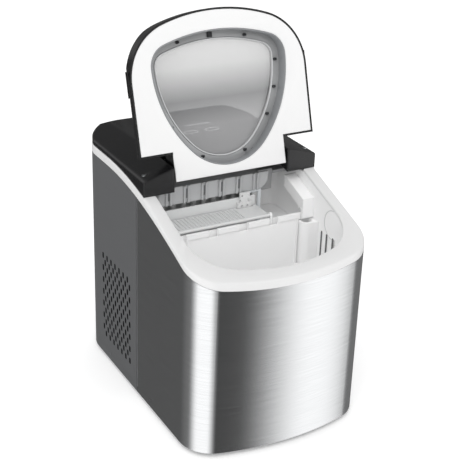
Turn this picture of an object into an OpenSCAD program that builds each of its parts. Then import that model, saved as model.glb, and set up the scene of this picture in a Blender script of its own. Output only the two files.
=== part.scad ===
// Countertop bullet-ice maker, lid open.
// +Z up, front faces -Y, origin at the middle of the footprint on the table.

/* [Body] */
// Width across the side panels
body_w = 242; // [220:1:300]
// Depth from the bow of the front to the back panel
body_d = 356; // [340:1:400]
// Height of the rim's edge at the middle of the front
front_z = 222; // [205:1:260]
// Rise of the side edge from the front to the level back
edge_rise = 70; // [60:1:80]
// Height of the top of the control housing
top_z = 328; // [326:1:345]
// Radius of the bowed front
front_r = 349; // [300:1:500]
// Radius of the front corners
corner_r = 44; // [35:1:55]
// Radius of the back corners
back_r = 50; // [35:1:60]
// Thickness of the steel front shell
steel_t = 1.2; // [0.8:0.1:2]
// Thickness of the moulded rear shell
plastic_t = 2.4; // [2:0.1:3]
// Distance from the centre to the seam between the two shells
seam_y = 0; // [-10:1:8]
// Gap at seams between covers
seam = 0.5; // [0.3:0.1:0.8]

/* [Feet] */
// Height of the rubber feet
foot_h = 6; // [5:0.5:10]
// Radius of the rubber feet
foot_r = 9; // [7:0.5:12]

/* [Vents] */
// Columns of vent holes in one set
vent_cols = 7; // [4:1:8]
// Rows of vent holes in one set
vent_rows = 7; // [4:1:8]
// Spacing of the vent columns
vent_dy = 13; // [12:0.5:14]
// Spacing of the vent rows
vent_dz = 18; // [16:0.5:19]

/* [Rim] */
// Height of the rim's outer band
rim_h = 10.6; // [9:0.1:12]
// Width of the rim beside the opening
rim_w = 17; // [15:0.5:19]
// Thickness of the rim's top skin
rim_t = 3; // [2:0.1:4]

/* [Tub] */
// Wall of the moulded tub
tub_t = 2.2; // [1.6:0.1:3]
// Height of the tub's floor
tub_floor_z = 60; // [50:1:70]
// Height of the shelf under the ice tray
shelf_z = 214; // [212:1:215]
// Position of the pit's back wall
pit_back_y = -47; // [-49:0.5:-46.5]
// Position of the ice chamber's back wall
chamber_back_y = 49; // [48:1:52]

/* [Basket] */
// Gap between basket and tub
basket_gap = 5; // [4:0.5:7]
// Wall of the ice basket
basket_t = 2; // [1.6:0.1:3]
// Height of the basket's floor
basket_floor_z = 106; // [95:1:112]
// Height of the basket's back wall
basket_back_z = 245.5; // [235:0.5:247]
// Height of the basket's sides and front
basket_side_z = 176; // [150:1:185]
// Spacing of the three notches in the back wall
notch_dx = 42.5; // [36:0.5:46]
// Depth of the notches
notch_d = 10; // [6:0.5:14]

/* [Ice unit] */
// Number of freezing fingers
fingers = 9; // [7:1:9]
// Left end of the ice unit
unit_x0 = -91; // [-93:1:-88]
// Right end of the ice unit
unit_x1 = 41; // [38:1:44]
// Height of the tray's pivot shaft
tray_z = 262; // [260:0.5:263]
// Position of the tray's pivot shaft
tray_y = 22; // [21:0.5:23]

/* [Lid] */
// Angle of the open lid behind the vertical
lid_lean = 17; // [10:1:20]
// Length of the tongue
tongue_l = 36; // [34:0.5:38]
// Half width of the tongue
tongue_w = 77; // [70:0.5:78]
// Radius of the lid's front edge
lid_r = 227; // [200:1:300]
// Radius of the lid's front corners
lid_corner = 71; // [50:1:75]
// Height of the lid's crown at the hinge end
lid_h = 29; // [25:0.5:30]
// Depth of the window below the liner
window_d = 15; // [12:0.5:16]
// Radius of the hinge pins
pin_r = 3; // [2.5:0.1:3.5]
// Radial clearance of the turning joints
fit = 0.05; // [0.02:0.01:0.08]

/* [Machinery] */
// Radius of the compressor's can
comp_r = 47; // [40:1:48]
// Height of the compressor's can
comp_h = 118; // [100:1:124]
// Radius of the fan
fan_r = 44; // [38:1:46]
// Blades of the fan
fan_blades = 7; // [5:1:9]

/* [Hidden] */
$fn = 48;
hw = body_w / 2;
front_y = -body_d / 2;
back_y = body_d / 2;
level_y = front_y + 0.75 * body_d;
shell_z = foot_h;
clear = 0.4;

// height of the shells' top edge
function edge_z(y) = front_z + edge_rise * sin(90 * min(1, (y - front_y) / (level_y - front_y)));
arm_y = -20;
seat_z0 = front_z + rim_h;
seat_z1 = edge_z(arm_y) + rim_h;
seat_a = atan((seat_z1 - seat_z0) / (arm_y - front_y));
// height of the rim's top: a flat slope under the lid, then level with the edge
function rim_z(y) = y < arm_y ? seat_z0 + (y - front_y) * tan(seat_a) : edge_z(y) + rim_h;

// points of an arc from angle a to angle b
function arc(x, y, r, a, b, step = 5) =
  let (n = max(1, ceil(abs(b - a) / step)))
    [for (i = [0 : n]) let (t = a + (b - a) * i / n) [x + r * cos(t), y + r * sin(t)]];
// right half of a plan with a bowed front, from the middle of the front to the middle of the back
function half_plan(w, f, b, r, fr, rr) =
  let (cy = f + r, fx = w - fr, fy = cy - sqrt(pow(r - fr, 2) - fx * fx), t = atan2(fy - cy, fx))
    concat(arc(0, cy, r, -90, t, 2), arc(fx, fy, fr, t, 0), arc(w - rr, b - rr, rr, 0, 90));
function both(h) = concat(h, [for (i = [len(h) - 1 : -1 : 0]) if (h[i].x > 0.001) [-h[i].x, h[i].y]]);
module body_plan(i = 0) {
  polygon(both(half_plan(hw - i, front_y + i, back_y - i, front_r - i, corner_r - i, back_r - i)));
}
well_w = hw - rim_w;
module well_plan(o = 0) {
  polygon(both(half_plan(well_w + o, front_y + rim_w - o, chamber_back_y + o, 215 + o, 57 + o, 10 + o)));
}
// a plate across X whose outline is given in Y and Z
module across(w, x = 0) {
  translate([x - w / 2, 0, 0]) rotate([90, 0, 90]) linear_extrude(w) children();
}
ys = [for (i = [0 : 24]) front_y - 1 + (body_d + 2) * i / 24];
// everything under the shells' top edge, lowered by d
module under_edge(d = 0) {
  across(body_w + 2)
    polygon(concat([[back_y + 1, -1], [front_y - 1, -1]], [for (y = ys) [y, edge_z(max(y, front_y)) - d]]));
}
module under_rim(d = 0) {
  across(body_w + 2)
    polygon(concat([[back_y + 1, -1], [front_y - 1, -1]],
      [for (y = concat([for (v = ys) if (v < arm_y) v], [arm_y], [for (v = ys) if (v > arm_y) v]))
        [y, rim_z(y) - d]]));
}
module slab(y0, y1, z0 = -1, z1 = 400) {
  translate([-200, y0, z0]) cube([400, y1 - y0, z1 - z0]);
}
module mirrored() { children(); mirror([1, 0, 0]) children(); }
module box(p, q) { translate(p) cube([q.x - p.x, q.y - p.y, q.z - p.z]); }

// ---- covers ----
foot_x = hw - 28;
foot_y = [front_y + 58, back_y - 48];
screw_r = 1.6;
module at_feet() { for (x = [-foot_x, foot_x], y = foot_y) translate([x, y, 0]) children(); }
shell_in = plastic_t + clear;
pan_t = 2.5;
module base_pan() {
  color("dimgray") difference() {
    union() {
      translate([0, 0, shell_z]) linear_extrude(pan_t) body_plan(shell_in);
      translate([0, 0, shell_z]) linear_extrude(16)
        difference() { body_plan(shell_in); body_plan(shell_in + 2); }
    }
    at_feet() translate([0, 0, shell_z - 1]) cylinder(r = 3.5, h = 6);
    comp_feet() translate([0, 0, shell_z - 1]) cylinder(r = screw_r, h = 6);
    shell_screw_places(-8) cylinder(r = screw_r, h = 20);
    translate([0, drain_y, drain_z]) rotate([0, 90, 0]) cylinder(r = drain_r + 1.5, h = 200);
    for (i = [-3 : 3])
      box([fan_cx + 6 + 7 * i, fan_y - 4, shell_z - 1], [fan_cx + 10 + 7 * i, fan_y + 40, shell_z + 4]);
  }
}
module feet() {
  color("#202020") at_feet() {
    cylinder(r1 = foot_r - 1, r2 = foot_r, h = 1.5);
    translate([0, 0, 1.5]) cylinder(r = foot_r, h = foot_h - 1.5);
    translate([0, 0, foot_h]) cylinder(r = 3.5, h = pan_t);
    translate([0, 0, foot_h + pan_t]) cylinder(r1 = 5, r2 = 3, h = 3);
  }
}
module vent_hole() {
  polygon(concat(arc(0, 2.2, vent_w, 22.5, 157.5, 45), arc(0, -2.2, vent_w, 202.5, 337.5, 45)));
}
vent_w = 2.5;
vent_y0 = 22;
vent_z0 = 40;
module vents() {
  for (i = [0 : vent_cols - 1], j = [0 : vent_rows - 1], k = [0, 1])
    translate([vent_y0 + vent_dy * (i + k / 2), vent_z0 + vent_dz * (j + k / 2)]) vent_hole();
}
module shell_ring(t, d = 0) {
  intersection() {
    translate([0, 0, shell_z]) linear_extrude(400) difference() { body_plan(); body_plan(t); }
    under_edge(d);
  }
}
// screws that hold the shells to the pan, driven from below the seam
module shell_screw_places(z) {
  for (x = [-1, 1], y = [seam_y - 40, back_y - 90])
    translate([x * (hw + 0.2), y, shell_z + 9]) rotate([0, -x * 90, 0]) translate([0, 0, z]) children();
}
module front_shell() {
  color("silver") difference() {
    shell_ring(steel_t, seam);
    slab(seam_y, back_y + 1);
    translate([0, drain_y, drain_z]) rotate([0, 90, 0]) cylinder(r = drain_r, h = 200);
    shell_screw_places(-1) cylinder(r = screw_r + 0.2, h = 4);
  }
}
gland_x = 60;
gland_z = 34;
module rear_shell() {
  color("#4a4b4d") difference() {
    shell_ring(plastic_t, seam);
    slab(front_y - 1, seam_y + seam);
    across(body_w + 10) vents();
    translate([gland_x, back_y - 10, gland_z]) rotate([-90, 0, 0]) cylinder(r = 8, h = 20);
    shell_screw_places(-1) cylinder(r = screw_r + 0.2, h = 4);
    for (i = [-5 : 5]) box([i * 10 - 2, back_y - 5, 185], [i * 10 + 2, back_y + 1, 225]);
  }
}
module shell_screws() {
  color("#303030") shell_screw_places(0.2) {
    cylinder(r = screw_r, h = 7);
    translate([0, 0, -0.001]) cylinder(r = screw_r + 0.15, h = 0.5);
  }
}
deck_i = 14;
module top_rim() {
  color("white") difference() {
    intersection() { linear_extrude(400) body_plan(); under_rim(); }
    under_edge();
    linear_extrude(400) well_plan();
    intersection() { linear_extrude(400) body_plan(deck_i); slab(arm_y, back_y); }
    intersection() {
      linear_extrude(400) difference() { body_plan(3); well_plan(-1); }
      difference() { under_rim(rim_t); under_edge(1); }
      slab(front_y, arm_y);
    }
  }
  // tabs for the housing's screws
  color("white") for (p = housing_screw_at) difference() {
    translate([0, 0, rim_z(p.y) - rim_h]) linear_extrude(2.5) intersection() {
      translate([p.x + sign(p.x) * 10, p.y]) square([30, 14], center = true);
      body_plan(deck_i - 0.5);
    }
    translate([p.x, p.y, 200]) cylinder(r = 1.3, h = 200);
  }
  // locating skirt inside the shells
  color("white") difference() {
    intersection() {
      linear_extrude(400) difference() { body_plan(shell_in); body_plan(shell_in + 1.8); }
      under_edge(-0.01);
    }
    under_edge(9);
  }
}

// ---- control housing ----
crown_r = 380;
function crown(x) = top_z - (crown_r - sqrt(crown_r * crown_r - x * x));
arch_r = 700;
arch_y = 70;
house_y1 = back_y - 0.6;
function arch(y) = top_z - (arch_r - sqrt(arch_r * arch_r - pow(y - arch_y, 2)));
module crown_cut(d = 0) {
  rotate([90, 0, 0]) translate([0, 0, -200]) linear_extrude(400)
    polygon(concat([[hw, 0], [hw - d, crown(hw - 7) - 6 - d]],
      [for (a = [0 : 15 : 60]) [hw - d - 6 + 6 * cos(a), crown(hw - 7) - 6 - d + 6 * sin(a)]],
      [for (x = [hw - 8 : -8 : -hw + 8]) [x, crown(x) - d]],
      [for (a = [120 : 15 : 180]) [-hw + d + 6 + 6 * cos(a), crown(hw - 7) - 6 - d + 6 * sin(a)]],
      [[-hw + d, crown(hw - 7) - 6 - d], [-hw, 0]]));
}
module arch_cut(d = 0) {
  across(300) polygon(concat([[arm_y + d, 100], [arm_y + d, arch(arm_y) - 6 - d]],
    [for (a = [180 : -15 : 105]) [arm_y + d + 6 + 6 * cos(a), arch(arm_y) - 6 - d + 6 * sin(a)]],
    [for (y = [arm_y + 8 : 10 : back_y - 26]) [y, arch(y) - d]],
    arc(house_y1 - 22 - d, arch(back_y - 22) - 22 - d, 22, 85, 0, 10), [[house_y1 - d, 100]]));
}
recess_y = 20;
module housing_block(i) {
  intersection() {
    translate([0, 0, 250]) linear_extrude(100) body_plan(0.6 + i);
    crown_cut(i);
    arch_cut(i);
  }
}
hinge_s = 11.3;
hinge_n = 13.4;
hinge_y = arm_y + 15.7;
hinge_z = seat_z0 + (hinge_y - front_y) * tan(seat_a) + (hinge_n + clear) / cos(seat_a);
// the lid reaches from the hinge to the front edge
lid_l = hinge_s + (hinge_y - front_y + hinge_n * sin(seat_a)) / cos(seat_a);
house_t = 2.6;
button_x = 15;
button_y = 64;
lens_x = 6;
lens_y = 90;
button_r = 6;
module oblong(r, l, h) {
  linear_extrude(h) union() {
    square([l, 2 * r], center = true);
    for (x = [-l / 2, l / 2]) translate([x, 0]) circle(r);
  }
}
housing_screw_at = [for (x = [-1, 1], y = [62, 120]) [x * (hw - 25), y]];
module control_housing() {
  color("#161616") difference() {
    union() {
      difference() {
        housing_block(0);
        difference() {
          housing_block(house_t);
          slab(arm_y - 1, recess_y + 3, 0, 400);
        }
        // hollow of the two arms
        mirrored() difference() {
          intersection() {
            housing_block(house_t);
            box([tongue_w + 7, arm_y, 0], [hw, recess_y + 4, 400]);
          }
          translate([0, hinge_y, hinge_z]) rotate([0, 90, 0]) cylinder(r = pin_r + 4, h = hw);
        }
        box([-tongue_w - 2.5, arm_y - 1, 0], [tongue_w + 2.5, recess_y, 400]);
      }
      intersection() {
        for (p = housing_screw_at) translate([p.x, p.y, rim_z(p.y) - 8]) cylinder(r = 4, h = 400);
        housing_block(1);
      }
    }
    difference() {
      under_rim(-clear);
      for (p = housing_screw_at) translate([p.x, p.y, 0]) cylinder(r = 4.01, h = 400);
    }
    translate([6 - hw, hinge_y, hinge_z]) rotate([0, 90, 0]) cylinder(r = pin_r, h = body_w - 12);
    for (x = [-button_x, button_x]) translate([x, button_y, top_z - 8]) oblong(button_r + 0.3, 9, 20);
    translate([lens_x, lens_y, top_z - 8]) oblong(3, 32, 20);
    for (p = housing_screw_at) translate([p.x, p.y, 0]) cylinder(r = 1.2, h = rim_z(p.y) + 4);
  }
}
module button_at(x) {
  translate([x, button_y, arch(button_y) - 6]) oblong(button_r, 9, 6.5);
  translate([x, button_y, arch(button_y) - 8]) oblong(button_r + 1.5, 9, 2);
  translate([x, button_y, board_z + 5.1]) cylinder(r = 2, h = arch(button_y) - 8 - board_z - 5.1);
}
module power_button() { color("#2b2b2b") button_at(-button_x); }
module select_button() { color("#2b2b2b") button_at(button_x); }
module indicator_lens() {
  color("#6b7078") translate([lens_x, lens_y, arch(lens_y) - 3.4]) oblong(3, 32, 3);
}
board_z = 304;
module control_board() {
  color("#1d5c38") box([-42, 48, board_z], [48, 104, board_z + 1.6]);
  color("#1d5c38") for (x = [-button_x, button_x])
    box([x - 3, button_y - 3, board_z + 1.6], [x + 3, button_y + 3, board_z + 3.6]);
  color("#222222") box([20, 90, board_z + 1.6], [30, 98, board_z + 3]);
  color("#dddddd") for (i = [0 : 4])
    translate([lens_x - 14 + 7 * i, lens_y, board_z + 1.6]) cylinder(r = 1.5, h = 5);
  color("#eeeeee") box([-40, 94, board_z + 1.6], [-26, 102, board_z + 8]);
  color("#161616") for (x = [-38, 44], y = [52, 100])
    translate([x, y, board_z + 1.6]) cylinder(r = 3, h = crown(45) - house_t - board_z - 2);
}
module housing_screws() {
  color("#888888") for (p = housing_screw_at) translate([p.x, p.y, rim_z(p.y) - rim_h - 2]) {
    cylinder(r = 3, h = 2);
    cylinder(r = 1.2, h = 14);
  }
}

// ---- lid: drawn closed and level, tongue end at y = 0, then turned open ----
swing = 90 + lid_lean + seat_a;
module lid_place() {
  translate([0, hinge_y, hinge_z]) rotate([-(90 + lid_lean), 0, 0])
    translate([0, hinge_s, -hinge_n]) children();
}
lid_shell_w = hw - 0.2;
// right half of the lid's front part; o shrinks it
function lid_half(o) =
  let (w = lid_shell_w - o, r = lid_r - o, c = lid_corner - o, cy = -lid_l + lid_r, fx = w - c,
    fy = cy - sqrt(pow(r - c, 2) - fx * fx), t = atan2(fy - cy, fx))
    concat(arc(0, cy, r, -90, t, 2), arc(fx, fy, c, t, 0), [[w, -tongue_l + 2.5 - o]]);
module lid_plan(o = 0) { polygon(both(lid_half(o))); }
// right half of the window's outline, made of four arcs that meet without a corner
win_c = lid_l - 64;
win_w = hw - 30;
win_r = 27;
win_side = 150;
win_turn = 44;
win_top = lid_l - 26.5;
win_x = win_w - win_side;
win_a = win_side + win_x / cos(win_turn);
win_ay = (win_side - win_a) * sin(win_turn) - win_c;
win_d = win_top - win_c;
win_front = (pow(win_w - win_r, 2) + win_d * win_d - win_r * win_r) / (2 * (win_d - win_r));
win_t = atan2(win_top - win_front - win_c, win_w - win_r);
function window_half(i) =
  concat(arc(0, win_front - win_top, win_front - i, -90, win_t, 2),
    arc(win_w - win_r, -win_c, win_r - i, win_t, 0),
    arc(win_x, -win_c, win_side - i, 0, win_turn, 2), arc(0, win_ay, win_a - i, win_turn, 90, 3));
module window_plan(i = 0) {
  polygon(both(window_half(i)));
}
lid_tip = 17;
liner_t = 2.4;
// crowned top: falls to the front and to both sides
module lid_crown(d = 0) {
  intersection() {
    across(300) polygon(concat([[0, -1], [-lid_l, -1], [-lid_l, lid_tip - 9 - d]],
      [for (a = [180 : -15 : 105]) [-lid_l + 9 + 9 * cos(a), lid_tip - 9 - d + 9 * sin(a)]],
      [for (t = [0.1 : 0.1 : 1])
        [-lid_l + 9 + t * (lid_l - tongue_l - 9), lid_tip + (lid_h - lid_tip) * sin(90 * sqrt(t)) - d]],
      [[0, 22 - d]]));
    rotate([90, 0, 0]) translate([0, 0, -20]) linear_extrude(lid_l + 40)
      polygon(concat([[-hw, -1], [hw, -1], [hw - d, 5 - d]],
        [for (x = [hw - 3 : -8 : -hw]) [x, lid_h - 15 * pow(abs(x) / (hw - 3), 2.2) - d]],
        [[-hw + 3, 14 - d], [-hw + d, 5 - d]]));
  }
}
barrel_r = 8;
barrel_in = 50;
module lid_shell() {
  color("#131313") lid_place() difference() {
    union() {
      difference() {
        intersection() { linear_extrude(60) lid_plan(); lid_crown(); }
        difference() {
          intersection() { linear_extrude(60) lid_plan(2.2); lid_crown(2.4); }
          translate([0, 0, liner_t + clear]) linear_extrude(60) window_plan(-4);
        }
        translate([0, 0, -1]) linear_extrude(1 + liner_t + clear) lid_plan(2);
        box([-tongue_w - 0.3, -tongue_l - 2, -1], [tongue_w + 0.3, 0, liner_t]);
      }
      // tongue
      difference() {
        intersection() {
          box([-tongue_w, -tongue_l, liner_t], [tongue_w, -3.5, 60]);
          lid_crown();
        }
        box([-barrel_in + 2, -tongue_l - 1, liner_t + 0.1], [barrel_in - 2, -3, 15]);
        difference() {
          box([-tongue_w - 1, -12.5, -1], [tongue_w + 1, 0, 60]);
          translate([-tongue_w, -hinge_s, hinge_n]) rotate([0, 90, 0])
            cylinder(r = barrel_r, h = 2 * tongue_w);
        }
      }
      mirrored() translate([lid_shell_w - 0.5, -137, 3]) cube([1.6, 31, 6]);
    }
    // window well, stepped to take the pane
    translate([0, 0, -1]) linear_extrude(window_d + 3.6) window_plan(-3);
    linear_extrude(80) window_plan(9.4);
    translate([-tongue_w - 1, -hinge_s, hinge_n]) rotate([0, 90, 0])
      cylinder(r = pin_r + fit, h = 2 * tongue_w + 2);
    at_window_screws() translate([0, 0, window_d]) cylinder(r = 0.9, h = 9);
    box([-barrel_in, -9.2, -1], [barrel_in, 1, 60]);
  }
}
screw_in = 5;
screw_at = concat(
  [[(win_front - screw_in) * cos(-78), win_front - win_top + (win_front - screw_in) * sin(-78)]],
  [for (a = [2.5, 16, 30]) [win_x + (win_side - screw_in) * cos(a), (win_side - screw_in) * sin(a) - win_c]],
  [[(win_a - screw_in) * cos(62), win_ay + (win_a - screw_in) * sin(62)]]);
module at_window_screws() {
  for (p = screw_at, s = [-1, 1]) translate([s * p.x, p.y, 0]) children();
}
liner_in = 2.4;
module lid_liner() {
  color("white") lid_place() difference() {
    union() {
      linear_extrude(liner_t) intersection() {
        lid_plan(liner_in);
        translate([-200, -300]) square([400, 300 - tongue_l]);
      }
      box([-tongue_w, -tongue_l - 0.1, 0], [tongue_w, 0, liner_t]);
      linear_extrude(window_d) window_plan(-2.4);
    }
    translate([0, 0, -1]) linear_extrude(40) window_plan();
  }
}
module lid_window() {
  color("#8d939980") lid_place() difference() {
    union() {
      translate([0, 0, window_d]) linear_extrude(2.4) window_plan(-2.4);
      translate([0, 0, window_d]) linear_extrude(6) window_plan(9.8);
    }
    translate([0, 0, window_d - 1]) linear_extrude(4) window_plan(12);
    at_window_screws() translate([0, 0, window_d - 1]) cylinder(r = 1.1, h = 5);
  }
}
module window_screws() {
  color("#2a2a2a") lid_place() at_window_screws() {
    translate([0, 0, window_d - 1.3]) cylinder(r = 2, h = 1.3, $fn = 24);
    translate([0, 0, window_d]) cylinder(r = 0.85, h = 6, $fn = 24);
  }
}
module window_clip() {
  color("#1a1a1a") lid_place() box([-7, -win_top + 1.5, window_d - 2.6], [-1, -win_top + 8, window_d]);
}
module hinge_pins() {
  color("silver") mirrored() translate([barrel_in + 8, hinge_y, hinge_z])
    rotate([0, 90, 0]) cylinder(r = pin_r, h = hw - barrel_in - 14);
}

// ---- tub and basket ----
column_x = well_w - 11;
column_r = 12;
column_z = 232;
tub_top_z = rim_z(arm_y) - rim_t;
module columns(r, z0, z1) {
  mirrored() translate([column_x, pit_back_y - 3, z0]) cylinder(r = r, h = z1 - z0);
}
lug_x = [unit_x0 - 3.2, unit_x1 + 0.2];
ramp_y = pit_back_y + 3;
ramp_z = 246;
module inner_tub() {
  color("whitesmoke") difference() {
    union() {
      difference() {
        translate([0, 0, tub_floor_z - tub_t]) linear_extrude(300) well_plan(tub_t);
        difference() {
          translate([0, 0, tub_floor_z]) linear_extrude(400) well_plan();
          box([-hw, pit_back_y, 0], [hw, 200, shelf_z]);
        }
        box([-hw, pit_back_y + tub_t, 0], [hw, 200, shelf_z - tub_t]);
      }
      intersection() {
        union() {
          columns(column_r, tub_floor_z, column_z);
          mirrored() translate([column_x - 2, pit_back_y - 3 - column_r, tub_floor_z])
            cube([14, 2 * column_r, column_z - tub_floor_z]);
        }
        linear_extrude(300) well_plan(1);
        slab(front_y, pit_back_y + 1);
      }
      for (x = [-70, 70], y = [-130, -70])
        translate([x, y, tub_floor_z]) cylinder(r = 6, h = basket_floor_z - 0.4 - tub_floor_z);
      for (x = lug_x) difference() {
        union() {
          box([x, ramp_y - 3.4, shelf_z - 1], [x + 3, ramp_y + 3.4, ramp_z]);
          along_x(x, x + 3, ramp_y, ramp_z, 3.4);
        }
        along_x(x - 1, x + 4, ramp_y, ramp_z, 2.2 + fit);
      }
      // raised lip under the front of the ramp
      box([0.5 - arm_in[0], pit_back_y, shelf_z - 1], [arm_in[0] - 0.5, pit_back_y + 0.6, ramp_z - 3]);
    }
    under_tub_top();
    mirrored() columns_bore();
    translate([drain_x, drain_y, 0]) cylinder(r = 7, h = 100);
    translate([pump_x, pit_back_y - 10, pump_z]) rotate([-90, 0, 0]) cylinder(r = 5, h = 20);
    translate([pump_x, hose_y, shelf_z - 10]) cylinder(r = 4.3, h = 20);
    for (x = pipe_x) translate([x, chamber_back_y - 5, evap_z]) rotate([-90, 0, 0]) cylinder(r = 4.5, h = 20);
    // air slots by the front corner
    mirrored() for (y = [-84, -100]) box([well_w - 5, y, 170], [well_w + 10, y + 3, 222]);
  }
}
module columns_bore() {
  translate([column_x, pit_back_y - 3, column_z - 12]) cylinder(r = column_r - 5, h = 20);
}
// cuts the tub off under the rim's skin
module under_tub_top() {
  difference() {
    slab(front_y - 5, back_y, 50, 400);
    difference() { under_rim(rim_t); slab(arm_y, back_y, tub_top_z, 400); }
  }
}
foam_i = tub_t + 0.4;
module tub_insulation() {
  color("#efe9d8") difference() {
    translate([0, 0, tub_floor_z - tub_t - 9]) linear_extrude(152) intersection() {
      well_plan(10.5);
      translate([-300, -300]) square([600, 300 + pit_back_y + 10]);
    }
    translate([0, 0, tub_floor_z - tub_t]) linear_extrude(200) intersection() {
      well_plan(foam_i);
      translate([-300, -300]) square([600, 300 + pit_back_y + foam_i]);
    }
    translate([drain_x, drain_y, 0]) cylinder(r = 9.5, h = 100);
    translate([pump_x, pit_back_y - 10, pump_z]) rotate([-90, 0, 0]) cylinder(r = 8, h = 40);
  }
}
basket_y1 = pit_back_y - 3.5;
basket_end = column_x - column_r - 2.2;
module basket_plan(i = 0) {
  difference() {
    intersection() {
      well_plan(-basket_gap - i);
      translate([-300, -300]) square([600, 300 + basket_y1 - i]);
    }
    for (s = [-1, 1]) {
      translate([s * column_x, pit_back_y - 3]) circle(column_r + 2 + i);
      translate([s * (column_x + 15), pit_back_y - 3]) square([30, 2 * (column_r + 2 + i)], center = true);
    }
  }
}
module ice_basket() {
  color("#f4f4f4") difference() {
    union() {
      intersection() {
        translate([0, 0, basket_floor_z]) linear_extrude(300) basket_plan();
        union() {
          slab(front_y, back_y, 0, basket_side_z);
          // high back wall between the columns, stepping down at its ends
          box([-basket_end, basket_y1 - 3.5, 0], [basket_end, back_y, basket_back_z]);
        }
      }
      // lip along the top of the back wall
      box([1 - basket_end, basket_y1 - 3.5, basket_back_z - 7], [basket_end - 1, basket_y1, basket_back_z]);
    }
    translate([0, 0, basket_floor_z + basket_t]) linear_extrude(basket_back_z - 7 - basket_floor_z - basket_t)
      basket_plan(basket_t);
    for (i = [-1 : 1])
      translate([i * notch_dx - 6, basket_y1 - 6, basket_back_z - notch_d]) cube([12, 12, 20]);
    for (x = [-72 : 18 : 72], y = [-140 : 16 : -76]) if (abs(x) < 60 || y > -130)
      translate([x, y, 0]) cylinder(r = 3, h = 150, $fn = 12);
  }
}

// ---- ice-full sensors ----
module sensor_arm(inner, side) {
  w = well_w - inner;
  tip_y = pit_back_y - 2.5;
  foot_y = pit_back_y + 9;
  color("whitesmoke") across(w, side * (inner + w / 2))
    polygon([for (y = [arm_y + 18, tip_y]) [y, rim_z(arm_y) + (y - arm_y) * tan(seat_a) - 17.5],
      [tip_y, column_z + 2], [foot_y, column_z + 2], [foot_y, rim_z(foot_y) - 34],
      [arm_y + 18, rim_z(arm_y) - 27]]);
}
arm_in = [87, 98];
module sensor_arm_right() { sensor_arm(arm_in[0], 1); }
module sensor_arm_left() { sensor_arm(arm_in[1], -1); }
module sensor_eyes() {
  color("#26262a") for (x = [arm_in[0] - 0.8, -arm_in[1]])
    along_x(x, x + 0.8, pit_back_y + 3, column_z + 13, 3);
}

// ---- ice unit ----
evap_y = 8;
evap_z = tray_z + 14;
tray_front = tray_y - 30;
tray_depth = 32;
shaft_r = 3;
module along_x(x0, x1, y, z, r) { translate([x0, y, z]) rotate([0, 90, 0]) cylinder(r = r, h = x1 - x0); }
module water_tray() {
  color("#e3e5e6") difference() {
    union() {
      box([unit_x0, tray_front, tray_z - tray_depth], [unit_x1, tray_y + 2, tray_z - 2]);
      along_x(unit_x0, unit_x1, tray_y, tray_z, shaft_r + 2);
    }
    box([unit_x0 + 2, tray_front + 2, tray_z - tray_depth + 2], [unit_x1 - 2, tray_y - 5.5, tray_z + 9]);
    along_x(unit_x0 - 1, unit_x1 + 1, tray_y, tray_z, shaft_r);
  }
}
plate_x = [unit_x0 - 6, unit_x1 + 3];
plate_t = 2.5;
module tray_shaft() {
  color("silver") along_x(plate_x[0] - 1, motor_x - 0.1, tray_y, tray_z, shaft_r);
}
motor_x = unit_x1 + 11;
module tray_motor() {
  color("#3a3c3e") {
    box([motor_x, tray_y - 8, tray_z - 8], [motor_x + 26, tray_y + 18, tray_z + 20]);
    box([motor_x + 26, tray_y - 10, tray_z + 14], [well_w, tray_y + 10, tray_z + 18]);
  }
}
lever_x = unit_x0 + 105;
module ice_ramp() {
  pitch = 5;
  color("#d9dbdd") {
    along_x(unit_x0 - 2.5, unit_x1 + 2.5, ramp_y, ramp_z, 2.2);
    difference() {
      box([unit_x0, ramp_y, ramp_z - 1], [unit_x1, tray_front - 2, ramp_z + 1.2]);
      box([lever_x - 2, tray_front - 5.5, ramp_z - 5], [lever_x + 22, tray_front, ramp_z + 5]);
    }
    for (x = [unit_x0 + 3 : pitch : unit_x1 - 4]) if (x < lever_x - 5 || x > lever_x + 23)
      box([x, ramp_y, ramp_z + 1], [x + 1.2, tray_front - 3, ramp_z + 2.2]);
  }
}
module tray_lever() {
  color("white") difference() {
    union() {
      box([lever_x, tray_front - 3.5, tray_z - 18], [lever_x + 20, tray_front, tray_z - 8]);
      box([lever_x + 5, tray_front - 3.5, tray_z - 10], [lever_x + 14, tray_front, tray_z - 2]);
      box([lever_x + 3, tray_front - 3.5, tray_z - 4], [lever_x + 17, tray_front - 0.6, tray_z + 5]);
    }
    for (p = [[6, 1], [6, -13], [14, -13]])
      translate([lever_x + p.x, tray_front - 4, tray_z + p.y]) rotate([-90, 0, 0]) cylinder(r = 1.3, h = 3);
  }
}
finger_dx = (unit_x1 - unit_x0 - 18) / (fingers - 1);
module evaporator() {
  color("#b87545") {
    along_x(unit_x0 + 3, unit_x1 - 3, evap_y, evap_z, 4);
    for (x = [unit_x0 + 16, unit_x1 - 16]) box([x, evap_y - 2, evap_z + 3], [x + 6, evap_y + 2, shroud_z - 3]);
  }
  color("silver") for (i = [0 : fingers - 1]) translate([unit_x0 + 9 + i * finger_dx, evap_y, evap_z - 30]) {
    cylinder(r = 3.5, h = 30);
    sphere(r = 3.5);
  }
}
shroud_z = tub_top_z + 3;
shroud_y = tray_front + 2;
cover_x = motor_x + 8;
post_dx = 24.5;
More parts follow.
